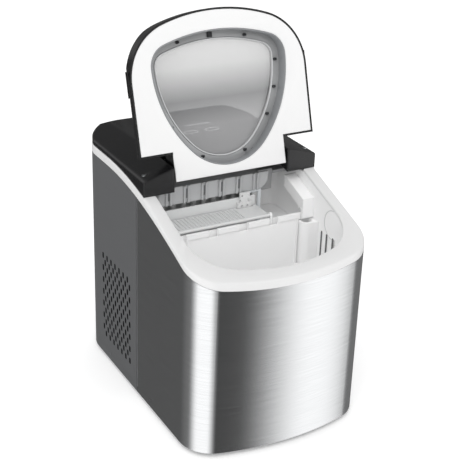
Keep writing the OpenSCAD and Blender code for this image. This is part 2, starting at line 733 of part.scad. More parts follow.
module evaporator_shroud() {
  color("#c4c7c9") difference() {
    union() {
      box([plate_x[0], shroud_y, shroud_z - 3], [plate_x[1] + plate_t, chamber_back_y + 1.5, shroud_z]);
      translate([0, shroud_y + 2.5, 0]) rotate([90, 0, 0]) linear_extrude(2.5)
        polygon(concat([[plate_x[0], shroud_z], [plate_x[0], tray_z + 4]],
          arc(cover_x - 14, tray_z + 18, 14, -90, 0, 15), [[cover_x, shroud_z]]));
      for (x = plate_x) box([x, tray_y - 12, tray_z - 7], [x + plate_t, tray_y + 8, shroud_z]);
      for (i = [0 : 5], k = [0, 1])
        translate([plate_x[0] + 12 + i * post_dx + k * 5.5, shroud_y - 2, tray_z + 4])
        cube([2.5, 3, shroud_z - tray_z - 4]);
    }
    along_x(plate_x[0] - 1, plate_x[1] + 4, tray_y, tray_z, shaft_r + fit);
  }
}

// ---- machinery ----
comp_x = 44;
comp_y = back_y - 66;
comp_z = shell_z + 14;
comp_foot_r = comp_r + 13;
module comp_feet() {
  for (a = [45, 135, 270])
    translate([comp_x + comp_foot_r * cos(a), comp_y + comp_foot_r * sin(a), 0]) children();
}
module compressor() {
  color("#1c1c1e") difference() {
    union() {
      translate([comp_x, comp_y, comp_z]) {
        cylinder(r = comp_r - 5, h = comp_h);
        translate([0, 0, 8]) cylinder(r = comp_r, h = comp_h - 20);
        translate([0, 0, comp_h - 12]) cylinder(r1 = comp_r, r2 = comp_r - 12, h = 10);
        translate([0, 0, comp_h * 0.55]) cylinder(r = comp_r + 1, h = 4);
        for (a = [45, 135, 270]) rotate(a) translate([0, -7, 0]) cube([comp_foot_r + 8, 14, 2.5]);
      }
      translate([comp_x + comp_r - 4, comp_y - 12, comp_z + 40]) cube([18, 24, 36]);
    }
    comp_feet() translate([0, 0, comp_z - 1]) cylinder(r = screw_r, h = 5);
  }
}
module compressor_grommets() {
  color("#2a2a2a") comp_feet() difference() {
    translate([0, 0, shell_z + pan_t]) cylinder(r = 8, h = comp_z - shell_z - pan_t);
    cylinder(r = screw_r, h = 60);
  }
}
module base_screws() {
  color("silver") comp_feet() {
    translate([0, 0, shell_z - 2]) cylinder(r = 3.6, h = 2);
    translate([0, 0, shell_z - 1]) cylinder(r = screw_r, h = comp_z - shell_z + 8);
    translate([0, 0, comp_z + 2.5]) cylinder(r = 3.4, h = 2.6, $fn = 6);
  }
}
fan_cx = -60;
fan_y = vent_y0 + 6.5 * vent_dy / 2;
fan_z = vent_z0 + 3.5 * vent_dz - 8;
cond_x = [-hw + 7, -hw + 27];
cond_y = [12, fan_y * 2 - 12];
cond_z = [30, 160];
cond_fins = 22;
module condenser() {
  color("#c9ccce") {
    for (i = [0 : cond_fins]) let (y = cond_y[0] + (cond_y[1] - cond_y[0] - 0.8) * i / cond_fins)
      box([cond_x[0], y, cond_z[0]], [cond_x[1], y + 0.8, cond_z[1]]);
    for (i = [0 : 5]) translate([cond_x[0] + 10, cond_y[0] - 3, cond_z[0] + 10 + i * 22])
      rotate([-90, 0, 0]) cylinder(r = 3, h = cond_y[1] - cond_y[0] + 3.4);
    for (i = [0 : 2]) translate([cond_x[0] + 7, cond_y[0] - 6, cond_z[0] + 7 + i * 44]) cube([6, 4, 28]);
    for (y = [cond_y[0] + 4, cond_y[1] - 12])
      box([cond_x[0] + 3, y, shell_z + pan_t], [cond_x[1] - 3, y + 8, cond_z[0]]);
  }
}
shroud_x = -hw + 30;
module fan_shroud() {
  color("#26282a") difference() {
    union() {
      box([shroud_x, cond_y[0], shell_z + pan_t], [shroud_x + 2.5, cond_y[1], cond_z[1] + 2]);
      along_x(shroud_x, shroud_x + 16, fan_y, fan_z, fan_r + 4);
    }
    along_x(shroud_x - 1, shroud_x + 20, fan_y, fan_z, fan_r + 1.5);
  }
}
module fan_rotor() {
  color("#3c3e40") {
    along_x(shroud_x + 4, shroud_x + 15, fan_y, fan_z, 13);
    for (i = [0 : fan_blades - 1]) translate([shroud_x + 9.5, fan_y, fan_z])
      rotate([i * 360 / fan_blades, 0, 0]) translate([0, 0, 10]) rotate([0, 0, 33])
        translate([-0.8, -8, 0]) cube([1.6, 16, fan_r - 12]);
  }
  color("silver") along_x(shroud_x + 14, shroud_x + 34, fan_y, fan_z, 2);
}
module fan_motor() {
  color("#77797c") difference() {
    union() {
      along_x(shroud_x + 20, shroud_x + 44, fan_y, fan_z, 17);
      box([shroud_x + 26, fan_y - 6, shell_z + pan_t], [shroud_x + 36, fan_y + 6, fan_z - 10]);
    }
    along_x(shroud_x + 19, shroud_x + 34.2, fan_y, fan_z, 2 + fit);
  }
}
module pipe(pts, r) {
  for (i = [0 : len(pts) - 2]) {
    d = pts[i + 1] - pts[i];
    translate(pts[i]) rotate([0, acos(d.z / norm(d)), atan2(d.y, d.x)]) cylinder(r = r, h = norm(d), $fn = 24);
    if (i > 0) translate(pts[i]) sphere(r = r, $fn = 24);
  }
}
pipe_x = [unit_x0 + 11, unit_x0 + 27, unit_x0 + 39];
behind_y = chamber_back_y + 12;
drier = [-40, back_y - 38];
module suction_pipe() {
  color("#b56a3b") pipe([[pipe_x[0], evap_y + 4, evap_z], [pipe_x[0], behind_y, evap_z],
    [pipe_x[0], behind_y, 190],
    [pipe_x[0], comp_y + 16, 190], [-20, comp_y + 16, 190], [-20, comp_y + 16, comp_z + 90],
    [comp_x - sqrt(comp_r * comp_r - 169) - 0.1, comp_y + 16, comp_z + 90]], 3);
}
module discharge_pipe() {
  color("#b56a3b") pipe([[comp_x + 20, comp_y, comp_z + comp_h], [comp_x + 20, comp_y, comp_z + comp_h + 14],
    [comp_x + 20, back_y - 28, comp_z + comp_h + 14], [cond_x[0] + 10, back_y - 28, comp_z + comp_h + 14],
    [cond_x[0] + 10, back_y - 28, cond_z[0] + 120], [cond_x[0] + 10, cond_y[1] + 0.4, cond_z[0] + 120]], 3);
}
module liquid_pipe() {
  color("#b56a3b") {
    pipe([[cond_x[0] + 10, cond_y[1] + 0.4, cond_z[0] + 10], [cond_x[0] + 10, drier.y, cond_z[0] + 10],
      [drier.x, drier.y, cond_z[0] + 10], [drier.x, drier.y, 60]], 2.5);
    pipe([[drier.x, drier.y, 138], [drier.x, drier.y, 240], [pipe_x[1], drier.y, 240],
      [pipe_x[1], behind_y, 240],
      [pipe_x[1], behind_y, evap_z], [pipe_x[1], evap_y + 4, evap_z]], 1.6);
  }
}
module filter_drier() {
  color("#c27a45") translate([drier.x, drier.y, 60]) {
    cylinder(r1 = 2.5, r2 = 8, h = 8);
    translate([0, 0, 8]) cylinder(r = 8, h = 58);
    translate([0, 0, 66]) cylinder(r1 = 8, r2 = 2, h = 12);
  }
}
module solenoid_valve() {
  z0 = comp_z + comp_h + 17;
  color("#b39a4e") translate([10, back_y - 28, z0]) cylinder(r = 6, h = 16);
  color("#20242a") translate([-2, back_y - 40, z0 + 15]) cube([24, 24, 28]);
  color("#b56a3b") pipe([[5, back_y - 28, z0 + 8], [pipe_x[2], back_y - 28, z0 + 8],
    [pipe_x[2], back_y - 28, 262],
    [pipe_x[2], behind_y, 262], [pipe_x[2], behind_y, evap_z], [pipe_x[2], evap_y + 4, evap_z]], 2.5);
}
pump_x = unit_x1 + 9;
pump_z = tub_floor_z + 18;
hose_y = tray_front + 6;
module water_pump() {
  color("#e8e8ea") {
    translate([pump_x, pit_back_y + 24, pump_z]) rotate([-90, 0, 0]) cylinder(r = 14, h = 36);
    translate([pump_x, pit_back_y - 6, pump_z]) rotate([-90, 0, 0]) cylinder(r = 5, h = 32);
    translate([pump_x, hose_y, pump_z]) cylinder(r = 5, h = 24);
  }
  color("#2c2e30") box([pump_x - 6, hose_y - 4, shell_z + pan_t], [pump_x + 6, hose_y + 8, pump_z - 12]);
}
module pump_strainer() {
  color("#9aa0a4") difference() {
    translate([pump_x, pit_back_y - 18, pump_z]) rotate([-90, 0, 0]) cylinder(r = 8, h = 17.8);
    translate([pump_x, pit_back_y - 16, pump_z]) rotate([-90, 0, 0]) cylinder(r = 5, h = 20);
  }
}
module pump_hose() {
  color("#dfe3e6") {
    pipe([[pump_x, hose_y, pump_z + 24], [pump_x, hose_y, tray_z + 1.4],
      [unit_x1 - 14, hose_y, tray_z + 1.4]], 2.6);
    translate([pump_x, hose_y, pump_z + 24]) cylinder(r = 4, h = shelf_z - pump_z - 20);
  }
}
module main_board() {
  x = hw - 17;
  color("#1d5c38") box([x, -24, 60], [x + 1.6, 46, 150]);
  color("#2a2a2a") box([x - 22, -16, 70], [x, 6, 96]);
  color("#2d5aa0") for (z = [104, 128]) box([x - 15, -18, z], [x, -4, z + 19]);
  color("#2a2a2a") for (y = [8, 24])
    translate([x - 20, y + 4, 120]) rotate([0, 90, 0]) cylinder(r = 6, h = 20);
  color("#efefef") for (z = [66, 84]) box([x - 9, 26, z], [x, 42, z + 12]);
  color("#efefef") for (y = [6, 40], z = [66, 144]) along_x(x + 1.6, hw - plastic_t, y, z, 3);
}
module cord_gland() {
  color("#1a1a1a") difference() {
    union() {
      translate([gland_x, back_y - 13, gland_z]) rotate([-90, 0, 0]) cylinder(r = 8, h = 13);
      translate([gland_x, back_y - plastic_t - 3, gland_z]) rotate([-90, 0, 0]) cylinder(r = 10.5, h = 3);
    }
    translate([gland_x, back_y - 20, gland_z]) rotate([-90, 0, 0]) cylinder(r = 3.5, h = 30);
  }
}
drain_x = well_w - 16;
drain_y = -96;
drain_z = 30;
drain_r = 12.3;
module drain_fitting() {
  color("#e4e6e8") difference() {
    union() {
      translate([drain_x, drain_y, drain_z]) cylinder(r = 7, h = tub_floor_z - drain_z);
      translate([drain_x, drain_y, drain_z]) sphere(r = 7);
      along_x(drain_x, hw - 13, drain_y, drain_z, 7);
      along_x(hw - 21, hw - 9, drain_y, drain_z, 9);
    }
    translate([drain_x, drain_y, drain_z]) cylinder(r = 5, h = 100);
    along_x(drain_x, hw, drain_y, drain_z, 5);
  }
}
module drain_cap() {
  color("#c9cbcd") difference() {
    along_x(hw - 18, hw - 0.2, drain_y, drain_z, drain_r - 0.3);
    along_x(hw - 19, hw - 8.5, drain_y, drain_z, 9.3);
    box([hw - 3, drain_y - 1.5, drain_z - 9], [hw + 1, drain_y + 1.5, drain_z + 9]);
  }
}

base_pan();
feet();
front_shell();
rear_shell();
top_rim();
control_housing();
power_button();
select_button();
indicator_lens();
control_board();
lid_shell();
lid_liner();
lid_window();
window_screws();
window_clip();
hinge_pins();
inner_tub();
tub_insulation();
ice_basket();
sensor_arm_right();
sensor_arm_left();
sensor_eyes();
water_tray();
tray_shaft();
tray_motor();
ice_ramp();
tray_lever();
evaporator();
evaporator_shroud();
compressor();
compressor_grommets();
condenser();
fan_shroud();
fan_rotor();
fan_motor();
filter_drier();
solenoid_valve();
suction_pipe();
discharge_pipe();
liquid_pipe();
water_pump();
pump_hose();
pump_strainer();
main_board();
cord_gland();
drain_fitting();
drain_cap();
shell_screws();
base_screws();
housing_screws();
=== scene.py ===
# %% [markdown]
# # A countertop ice maker with its lid open
# The machine is a bowed steel front on a dark vented rear cover, a white rim and tub, a black
# control housing and a hinged lid with a smoked window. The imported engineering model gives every
# part its place, so each step below either gives one of those parts its finish or builds a
# rounder, more detailed piece that stands where the plain one stood.

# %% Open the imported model
import math

import bmesh
import bpy
from mathutils import Matrix, Vector
from mathutils.geometry import tessellate_polygon


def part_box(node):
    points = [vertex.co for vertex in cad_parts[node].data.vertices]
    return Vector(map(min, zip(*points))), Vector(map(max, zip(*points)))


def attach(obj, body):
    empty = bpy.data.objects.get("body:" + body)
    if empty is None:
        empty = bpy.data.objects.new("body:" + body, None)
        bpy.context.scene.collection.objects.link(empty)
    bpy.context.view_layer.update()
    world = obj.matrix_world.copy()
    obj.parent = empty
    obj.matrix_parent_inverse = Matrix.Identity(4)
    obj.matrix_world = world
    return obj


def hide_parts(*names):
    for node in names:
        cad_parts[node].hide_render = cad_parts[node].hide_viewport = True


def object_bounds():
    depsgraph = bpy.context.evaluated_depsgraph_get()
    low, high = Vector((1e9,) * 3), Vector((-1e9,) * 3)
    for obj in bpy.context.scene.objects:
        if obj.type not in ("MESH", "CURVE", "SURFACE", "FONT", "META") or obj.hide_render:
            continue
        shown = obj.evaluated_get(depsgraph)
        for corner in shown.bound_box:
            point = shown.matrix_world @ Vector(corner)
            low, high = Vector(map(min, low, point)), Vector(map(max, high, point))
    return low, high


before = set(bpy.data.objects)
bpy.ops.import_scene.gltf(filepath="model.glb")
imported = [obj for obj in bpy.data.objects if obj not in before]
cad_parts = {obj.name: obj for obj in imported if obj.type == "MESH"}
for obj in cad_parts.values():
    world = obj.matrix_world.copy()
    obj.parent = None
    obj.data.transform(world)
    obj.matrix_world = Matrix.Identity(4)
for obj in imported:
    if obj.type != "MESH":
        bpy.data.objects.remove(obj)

cad_box = [list(corner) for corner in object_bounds()]
print("size in mm:", [round((b - a) * 1000, 1) for a, b in zip(*cad_box)])

# %% [markdown]
# ## Two small tools for every material
# A colour is picked as a hex value, the way paint charts give it, and Blender's nodes want it
# linear. One function does that. Another adds a node to a tree with its settings and its inputs,
# and is used for shader trees and for Geometry Nodes alike.

# %% Colour and node tools
mm = 0.001


def paint(code):
    """An sRGB hex colour as the linear colour that nodes take."""
    parts = [int(code[i:i + 2], 16) / 255 for i in (1, 3, 5)]
    return (*[c / 12.92 if c <= 0.04045 else ((c + 0.055) / 1.055) ** 2.4 for c in parts], 1.0)


def add(tree, kind, settings=None, inputs=None):
    """A new node with its settings, and a value or another node's socket for each input."""
    made = tree.nodes.new(kind)
    for name, value in (settings or {}).items():
        setattr(made, name, value)
    for name, value in (inputs or {}).items():
        if isinstance(value, bpy.types.NodeSocket):
            tree.links.new(value, made.inputs[name])
        else:
            made.inputs[name].default_value = value
    return made


print("steel grey in linear light:", [round(c, 3) for c in paint("#c8cacc")])

# %% [markdown]
# ## The camera
# A product like this is shot from a little above with a long lens, so its sides stay nearly
# parallel. The camera is placed by a target, two angles and a distance, because those are easier
# to reason about than a position, and a small roll levels the shot.

# %% Camera
scene = bpy.context.scene
scene.view_settings.view_transform = "Standard"
turn, tilt, roll = [math.radians(angle) for angle in (-29.68, 25.01, 2.02)]
distance = 1.4305
target = Vector((0.0089, -0.0029, 0.2143))
back = Vector((math.sin(turn) * math.cos(tilt), -math.cos(turn) * math.cos(tilt), math.sin(tilt)))
camera = bpy.data.objects.new("camera", bpy.data.cameras.new("camera"))
scene.collection.objects.link(camera)
camera.data.lens, camera.data.sensor_width = 87.45, 36.0
camera.data.clip_start, camera.data.clip_end = 0.05, 60.0
aim = (-back).to_track_quat("-Z", "Y").to_matrix().to_4x4()
camera.matrix_world = Matrix.Translation(target + back * distance) @ aim @ Matrix.Rotation(roll, 4, "Z")
scene.camera = camera
print("lens", camera.data.lens, "mm, from", [round(c, 3) for c in camera.location])

# %% [markdown]
# ## The floor
# The machine stands on one wide sheet of pale card. Matt card lit from all round reads as plain
# white with only a soft shadow at the feet, so the sheet gives off a little light of its own and
# isn't mirrored in the steel. It is stage, not part of the machine.

# %% Floor
def glow(finish, strength):
    """A faint white light given off by a finish."""
    shader = finish.node_tree.nodes["Principled BSDF"]
    shader.inputs["Emission Color"].default_value = paint("#ffffff")
    shader.inputs["Emission Strength"].default_value = strength


half = 20
floor_mesh = bpy.data.meshes.new("floor")
floor_mesh.from_pydata([(-half, -half, 0), (half, -half, 0), (half, half, 0), (-half, half, 0)],
                       [], [(0, 1, 2, 3)])
floor = bpy.data.objects.new("floor", floor_mesh)
scene.collection.objects.link(floor)
floor.visible_glossy = False
# matt card scatters all its light, so it shows no highlight at any angle
sheet = bpy.data.materials.new("pale card floor")
sheet.use_nodes = True
sheet.node_tree.nodes["Principled BSDF"].inputs["Base Color"].default_value = paint("#f7f7f7")
sheet.node_tree.nodes["Principled BSDF"].inputs["Roughness"].default_value = 0.9
sheet.node_tree.nodes["Principled BSDF"].inputs["Specular IOR Level"].default_value = 0.0
glow(sheet, 0.22)
floor_mesh.materials.append(sheet)
print("floor", floor.dimensions[:2])

# %% [markdown]
# ## The studio light
# The light is a white tent. All of it lights the floor and the plastics evenly, while the metal
# and the gloss black mirror two soft boxes and the dark card between them. Those are a ramp by
# compass direction in the world, because a polished part shows its surroundings more than its own
# colour. One weak area light above gives the forms a side.

# %% Studio light
world = bpy.data.worlds.new("studio tent")
scene.world = world
world.use_nodes = True
tent = world.node_tree
tent.nodes.clear()


def surroundings(stops, facing):
    """A ramp of brightness by compass direction: degrees from the front, positive to the right."""
    ramp = add(tent, "ShaderNodeValToRGB", {}, {"Fac": facing})
    ramp.color_ramp.interpolation = "EASE"
    points = ramp.color_ramp.elements
    while len(points) < len(stops):
        points.new(0.5)
    for point, (angle, level) in zip(points, stops):
        point.position, point.color = (angle + 180) / 360, (level, level, level, 1)
    return ramp.outputs["Color"]


way = add(tent, "ShaderNodeSeparateXYZ", {}, {0: add(tent, "ShaderNodeTexCoord").outputs["Generated"]})
front = add(tent, "ShaderNodeMath", {"operation": "MULTIPLY"}, {0: way.outputs["Y"], 1: -1.0})
compass = add(tent, "ShaderNodeMath", {"operation": "ARCTAN2"}, {0: way.outputs["X"], 1: front.outputs[0]})
facing = add(tent, "ShaderNodeMapRange", {}, {"Value": compass.outputs[0], "From Min": -math.pi,
                                              "From Max": math.pi}).outputs["Result"]
# each stop is an angle from the front and a brightness; one soft box stands on each side
dark_card, bright_box, side_card = 0.08, 1.5, 0.22
left_box = [(-110, side_card), (-76, bright_box), (-44, bright_box), (-14, dark_card)]
right_box = [(8, dark_card), (44, bright_box), (53, bright_box), (78, side_card)]
front_boxes = left_box + right_box
low_cards = surroundings([(-180, 0.14), (-155, 0.10), *front_boxes, (180, 0.14)], facing)
high_cards = surroundings([(-180, 0.30), (-150, 0.80), *front_boxes, (130, 0.12), (180, 0.16)], facing)
lift = add(tent, "ShaderNodeMapRange", {"interpolation_type": "SMOOTHSTEP"},
           {"Value": way.outputs["Z"], "From Min": 0.0, "From Max": 0.12})
cards = add(tent, "ShaderNodeMix", {"data_type": "RGBA"}, {"Factor": lift.outputs["Result"]})
tent.links.new(low_cards, [s for s in cards.inputs if s.name == "A" and s.type == "RGBA"][0])
tent.links.new(high_cards, [s for s in cards.inputs if s.name == "B" and s.type == "RGBA"][0])
mirrored_light = add(tent, "ShaderNodeBackground", {}, {"Strength": 1.0})
tent.links.new([s for s in cards.outputs if s.type == "RGBA"][0], mirrored_light.inputs["Color"])
overhead = add(tent, "ShaderNodeMapRange", {}, {"Value": way.outputs["Z"], "From Min": -0.3,
                                                "From Max": 1.0, "To Min": 0.88, "To Max": 0.98})
even_light = add(tent, "ShaderNodeBackground", {}, {"Color": (1, 1, 1, 1), "Strength": overhead.outputs[0]})
which = add(tent, "ShaderNodeLightPath")
both = add(tent, "ShaderNodeMixShader", {},
           {0: which.outputs["Is Glossy Ray"], 1: even_light.outputs[0], 2: mirrored_light.outputs[0]})
add(tent, "ShaderNodeOutputWorld", {}, {"Surface": both.outputs[0]})


def soft_box(name, place, aimed_at, size, watts):
    """A rectangular area light, aimed at a point and not mirrored in gloss."""
    lamp = bpy.data.objects.new(name, bpy.data.lights.new(name, "AREA"))
    lamp.data.shape, lamp.data.energy = "RECTANGLE", watts
    lamp.data.size, lamp.data.size_y = size
    aimed = (Vector(aimed_at) - Vector(place)).to_track_quat("-Z", "Y").to_matrix().to_4x4()
    lamp.matrix_world = Matrix.Translation(place) @ aimed
    lamp.visible_glossy = False
    scene.collection.objects.link(lamp)
    return lamp


key = soft_box("key_box", (-0.9, -1.3, 2.2), (0, 0, 0.2), (1.4, 1.4), 15)
print("area light:", key.name, key.data.energy, "watts")

# %% [markdown]
# ## Moulded plastics
# Most of the machine is injection moulded. Gloss ABS has a mirror polish from the tool and only a
# faint long ripple, while inner parts in polypropylene come from a plainer tool and are silkier.
# The eye reads that from how sharp reflections are, so one recipe makes them all: a base colour
# with a slight drift, a roughness that wanders, and a bump of a real grain size. Where the
# engineering part has square edges, a Bevel node rolls them in the shading alone.

# %% A recipe for moulded plastic
def moulded(name, colour, drift, roughness, spread, grain, bump, alpha=1.0, ior=1.5, edge=0.0):
    """A plastic: colour, its drift, roughness, its spread, then grain, bump and edge radius in mm."""
    mat = bpy.data.materials.new(name)
    mat.use_nodes = True
    tree = mat.node_tree
    shader = tree.nodes["Principled BSDF"]
    place = add(tree, "ShaderNodeTexCoord").outputs["Object"]
    cloud = add(tree, "ShaderNodeTexNoise", {}, {"Vector": place, "Scale": 14.0, "Detail": 2.0})
    tint = add(tree, "ShaderNodeValToRGB", {}, {"Fac": cloud.outputs["Fac"]})
    base = Vector(paint(colour)[:3])
    tint.color_ramp.elements[0].position, tint.color_ramp.elements[1].position = 0.3, 0.7
    tint.color_ramp.elements[0].color = (*(base * (1 - drift)), 1)
    tint.color_ramp.elements[1].color = (*[min(1.0, c * (1 + drift)) for c in base], 1)
    tree.links.new(tint.outputs["Color"], shader.inputs["Base Color"])
    grains = add(tree, "ShaderNodeTexNoise", {},
                 {"Vector": place, "Scale": 1.0 / (grain * mm), "Detail": 3.0})
    rough = add(tree, "ShaderNodeMapRange", {},
                {"Value": grains.outputs["Fac"], "To Min": roughness - spread, "To Max": roughness + spread})
    tree.links.new(rough.outputs["Result"], shader.inputs["Roughness"])
    relief = add(tree, "ShaderNodeBump", {},
                 {"Height": grains.outputs["Fac"], "Distance": bump * mm, "Strength": 1.0})
    tree.links.new(relief.outputs["Normal"], shader.inputs["Normal"])
    if edge:
        rolled = add(tree, "ShaderNodeBevel", {"samples": 4}, {"Radius": edge * mm})
        tree.links.new(rolled.outputs["Normal"], relief.inputs["Normal"])
    shader.inputs["IOR"].default_value = ior
    shader.inputs["Alpha"].default_value = alpha
    return mat


# white shells: a soft sheen on rolled edges, and no tint of their own
rim_white = moulded("gloss white ABS, moulded", "#dcdcdc", 0.006, 0.30, 0.02, 20.0, 0.002)
liner_white = moulded("white ABS, lid liner", "#e7e7e7", 0.006, 0.36, 0.02, 20.0, 0.002)
# a formed sheet and thin moulded walls: silkier, with edges as round as the tool leaves them
tub_white = moulded("white ABS, vacuum formed", "#f4f4f4", 0.008, 0.42, 0.04, 12.0, 0.004, edge=3.0)
basket_white = moulded("white polypropylene, moulded", "#f5f5f5", 0.008, 0.38, 0.04, 12.0, 0.004, edge=1.2)
arm_white = moulded("white ABS, sensor arm", "#f4f4f4", 0.006, 0.32, 0.03, 12.0, 0.003, edge=2.5)
# painted light: the thin white walls are given a faint glow, so their shaded side never goes truly grey
for glowing_white, strength in ((tub_white, 0.04), (basket_white, 0.035), (arm_white, 0.03)):
    glow(glowing_white, strength)
# gloss black from a polished tool: nearly black, with the soft boxes drawn sharply along its edges
cap_black = moulded("gloss black ABS, moulded", "#141415", 0.06, 0.22, 0.03, 5.0, 0.004, edge=3.5)
lid_black = moulded("gloss black ABS, lid", "#0e0e0f", 0.06, 0.22, 0.03, 5.0, 0.004, edge=1.5)
# a fine satin texture spreads the highlight, so the caps read as soft to the touch
button_black = moulded("satin black ABS, buttons", "#242426", 0.05, 0.42, 0.06, 0.8, 0.01)
# polypropylene is a little waxy: broad dull highlights, in the greys and white of the ice unit
unit_grey = moulded("grey polypropylene, moulded", "#b4b5b6", 0.03, 0.36, 0.06, 8.0, 0.004, edge=1.6)
ramp_grey = moulded("pale grey polypropylene, ribbed", "#d6d7d7", 0.02, 0.40, 0.05, 8.0, 0.004, edge=0.5)
tray_white = moulded("ice tray polypropylene", "#dcdddd", 0.02, 0.34, 0.05, 8.0, 0.004, edge=1.0)
# spark-textured housings and rubber are matt; clear silicone keeps a wet highlight
dark_plastic = moulded("dark ABS, textured", "#232426", 0.08, 0.55, 0.08, 0.6, 0.03)
foot_rubber = moulded("black rubber, moulded", "#1b1b1b", 0.10, 0.75, 0.08, 0.5, 0.04, ior=1.52)
hose_clear = moulded("silicone hose", "#d9dde0", 0.03, 0.25, 0.05, 3.0, 0.01, ior=1.41)
# smoked acrylic is glossy and clear enough to show the buttons faintly through it
smoked = moulded("smoked acrylic, painted reflection", "#a9abad", 0.02, 0.12, 0.03, 8.0, 0.002, alpha=0.66, ior=1.49)
tree = smoked.node_tree
height = add(tree, "ShaderNodeSeparateXYZ", {}, {0: add(tree, "ShaderNodeTexCoord").outputs["Object"]})
# painted reflection: the acrylic's colour runs darker low down and paler towards the lid's front edge at the
# top
reflection_low, reflection_high = 0.355, 0.47
reflection_span = add(tree, "ShaderNodeMapRange", {},
           {"Value": height.outputs["Z"], "From Min": reflection_low, "From Max": reflection_high})
painted_reflection = add(tree, "ShaderNodeValToRGB", {}, {"Fac": reflection_span.outputs["Result"]})
painted_reflection.color_ramp.elements[0].color = paint("#a9a9aa")
painted_reflection.color_ramp.elements[1].color = paint("#e6e6e6")
for at, tone in ((0.26, "#7c7d7e"), (0.60, "#d2d2d2")):
    painted_reflection.color_ramp.elements.new(at).color = paint(tone)
tree.links.new(painted_reflection.outputs["Color"], tree.nodes["Principled BSDF"].inputs["Base Color"])
# a blackened screw is nearly black with a small bright spot; the white print has a painted glow, so it reads
# evenly bright
screw_dark = moulded("blackened steel screw", "#3a3b3d", 0.08, 0.35, 0.05, 1.0, 0.004)
glowing_print_white = moulded("white print, painted glow", "#ffffff", 0.02, 0.5, 0.05, 2.0, 0.002)
glow(glowing_print_white, 0.9)
print("plastics:", len(bpy.data.materials))

# %% [markdown]
# ## Metals and other stock
# The front is brushed stainless sheet: fine grooves along the sheet smear every reflection
# across them, so soft boxes turn into tall bands. Real grooves are about 0.05 mm wide, too fine
# to show from here, so the streaks are drawn about 1 mm wide and the smear itself comes from the
# shader's anisotropy. Pipes are copper, the fins aluminium, the pan galvanised steel.

# %% A recipe for metal
def metal(name, colour, roughness, streaks, depth, smear=0.0, metallic=1.0, spread=0.06, drift=0.05):
    """A metal: streaks are the pattern's size in mm along X, Y and Z, depth its bump in mm."""
    mat = bpy.data.materials.new(name)
    mat.use_nodes = True
    tree = mat.node_tree
    shader = tree.nodes["Principled BSDF"]
    place = add(tree, "ShaderNodeTexCoord").outputs["Object"]
    stretch = add(tree, "ShaderNodeMapping", {},
                  {"Vector": place, "Scale": [1 / (s * mm) for s in streaks]})
    lines = add(tree, "ShaderNodeTexNoise", {},
                {"Vector": stretch.outputs["Vector"], "Scale": 1.0, "Detail": 4.0, "Roughness": 0.65})
    base = Vector(paint(colour)[:3])
    tint = add(tree, "ShaderNodeValToRGB", {}, {"Fac": lines.outputs["Fac"]})
    tint.color_ramp.elements[0].position, tint.color_ramp.elements[1].position = 0.25, 0.75
    tint.color_ramp.elements[0].color = (*(base * (1 - drift)), 1)
    tint.color_ramp.elements[1].color = (*[min(1.0, c * (1 + drift)) for c in base], 1)
    tree.links.new(tint.outputs["Color"], shader.inputs["Base Color"])
    rough = add(tree, "ShaderNodeMapRange", {},
                {"Value": lines.outputs["Fac"], "To Min": roughness - spread, "To Max": roughness + spread})
    tree.links.new(rough.outputs["Result"], shader.inputs["Roughness"])
    relief = add(tree, "ShaderNodeBump", {}, {"Height": lines.outputs["Fac"], "Distance": depth * mm})
    tree.links.new(relief.outputs["Normal"], shader.inputs["Normal"])
    shader.inputs["Metallic"].default_value = metallic
    shader.inputs["Anisotropic"].default_value = smear
    if smear:
        along = add(tree, "ShaderNodeTangent", {"direction_type": "RADIAL", "axis": "Z"})
        tree.links.new(along.outputs[0], shader.inputs["Tangent"])
        shader.inputs["Anisotropic Rotation"].default_value = 0.25
    return mat


# brushed sheet smears the soft boxes into tall bands; the coated cover only keeps a dull sheen
brushed_steel = metal("stainless steel, brushed", "#d3d4d5", 0.22, (60, 60, 0.9), 0.001, smear=0.85,
                      spread=0.07, drift=0.085)
dark_cover = metal("coated steel, dark grey satin", "#838486", 0.36, (60, 60, 3), 0.001, smear=0.4,
                   metallic=0.6, spread=0.04, drift=0.04)
# zinc is dull and cloudy on the pan, and brighter where a part was turned and then plated
pan_zinc = metal("galvanised steel sheet", "#8b8d90", 0.5, (6, 6, 6), 0.01)
bright_steel = metal("zinc plated steel, turned", "#b9bbbe", 0.3, (4, 4, 4), 0.006)
# drawn tube is warm and half bright; the plated fingers scatter light and look nearly white
copper = metal("copper tube, drawn", "#b8704a", 0.32, (8, 8, 8), 0.006)
nickel = metal("nickel plated copper", "#dddddd", 0.5, (8, 8, 8), 0.004, metallic=0.15)
# thin rolled fins are pale with a soft shine; enamel over pressed steel is black and smooth
aluminium = metal("aluminium fin stock, rolled", "#c4c7ca", 0.38, (20, 20, 20), 0.004)
compressor_paint = metal("black enamel on pressed steel", "#161617", 0.4, (5, 5, 5), 0.02, metallic=0.0)
# solder mask is a glossy green film, foam beads are quite matt, and the strip is lit from behind
board_green = moulded("circuit board, solder mask", "#1d5a38", 0.15, 0.35, 0.05, 1.0, 0.02, ior=1.55)
foam = moulded("expanded polystyrene beads", "#ece6d8", 0.06, 0.85, 0.05, 3.0, 0.25, ior=1.55)
lens_grey = moulded("translucent indicator strip", "#dfe2e5", 0.04, 0.2, 0.04, 4.0, 0.002, ior=1.49)
glow(lens_grey, 0.35)
print("finishes:", len(bpy.data.materials))

# %% [markdown]
# ## Finishes on the engineering parts
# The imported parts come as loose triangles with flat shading. A Geometry Nodes tree joins the
# triangles and shades every edge gentler than a set angle smoothly, so turned and bowed faces
# look round while true corners stay crisp. It is a live modifier, so the part's own mesh isn't
# touched. Each part then gets its finish in its material slots.

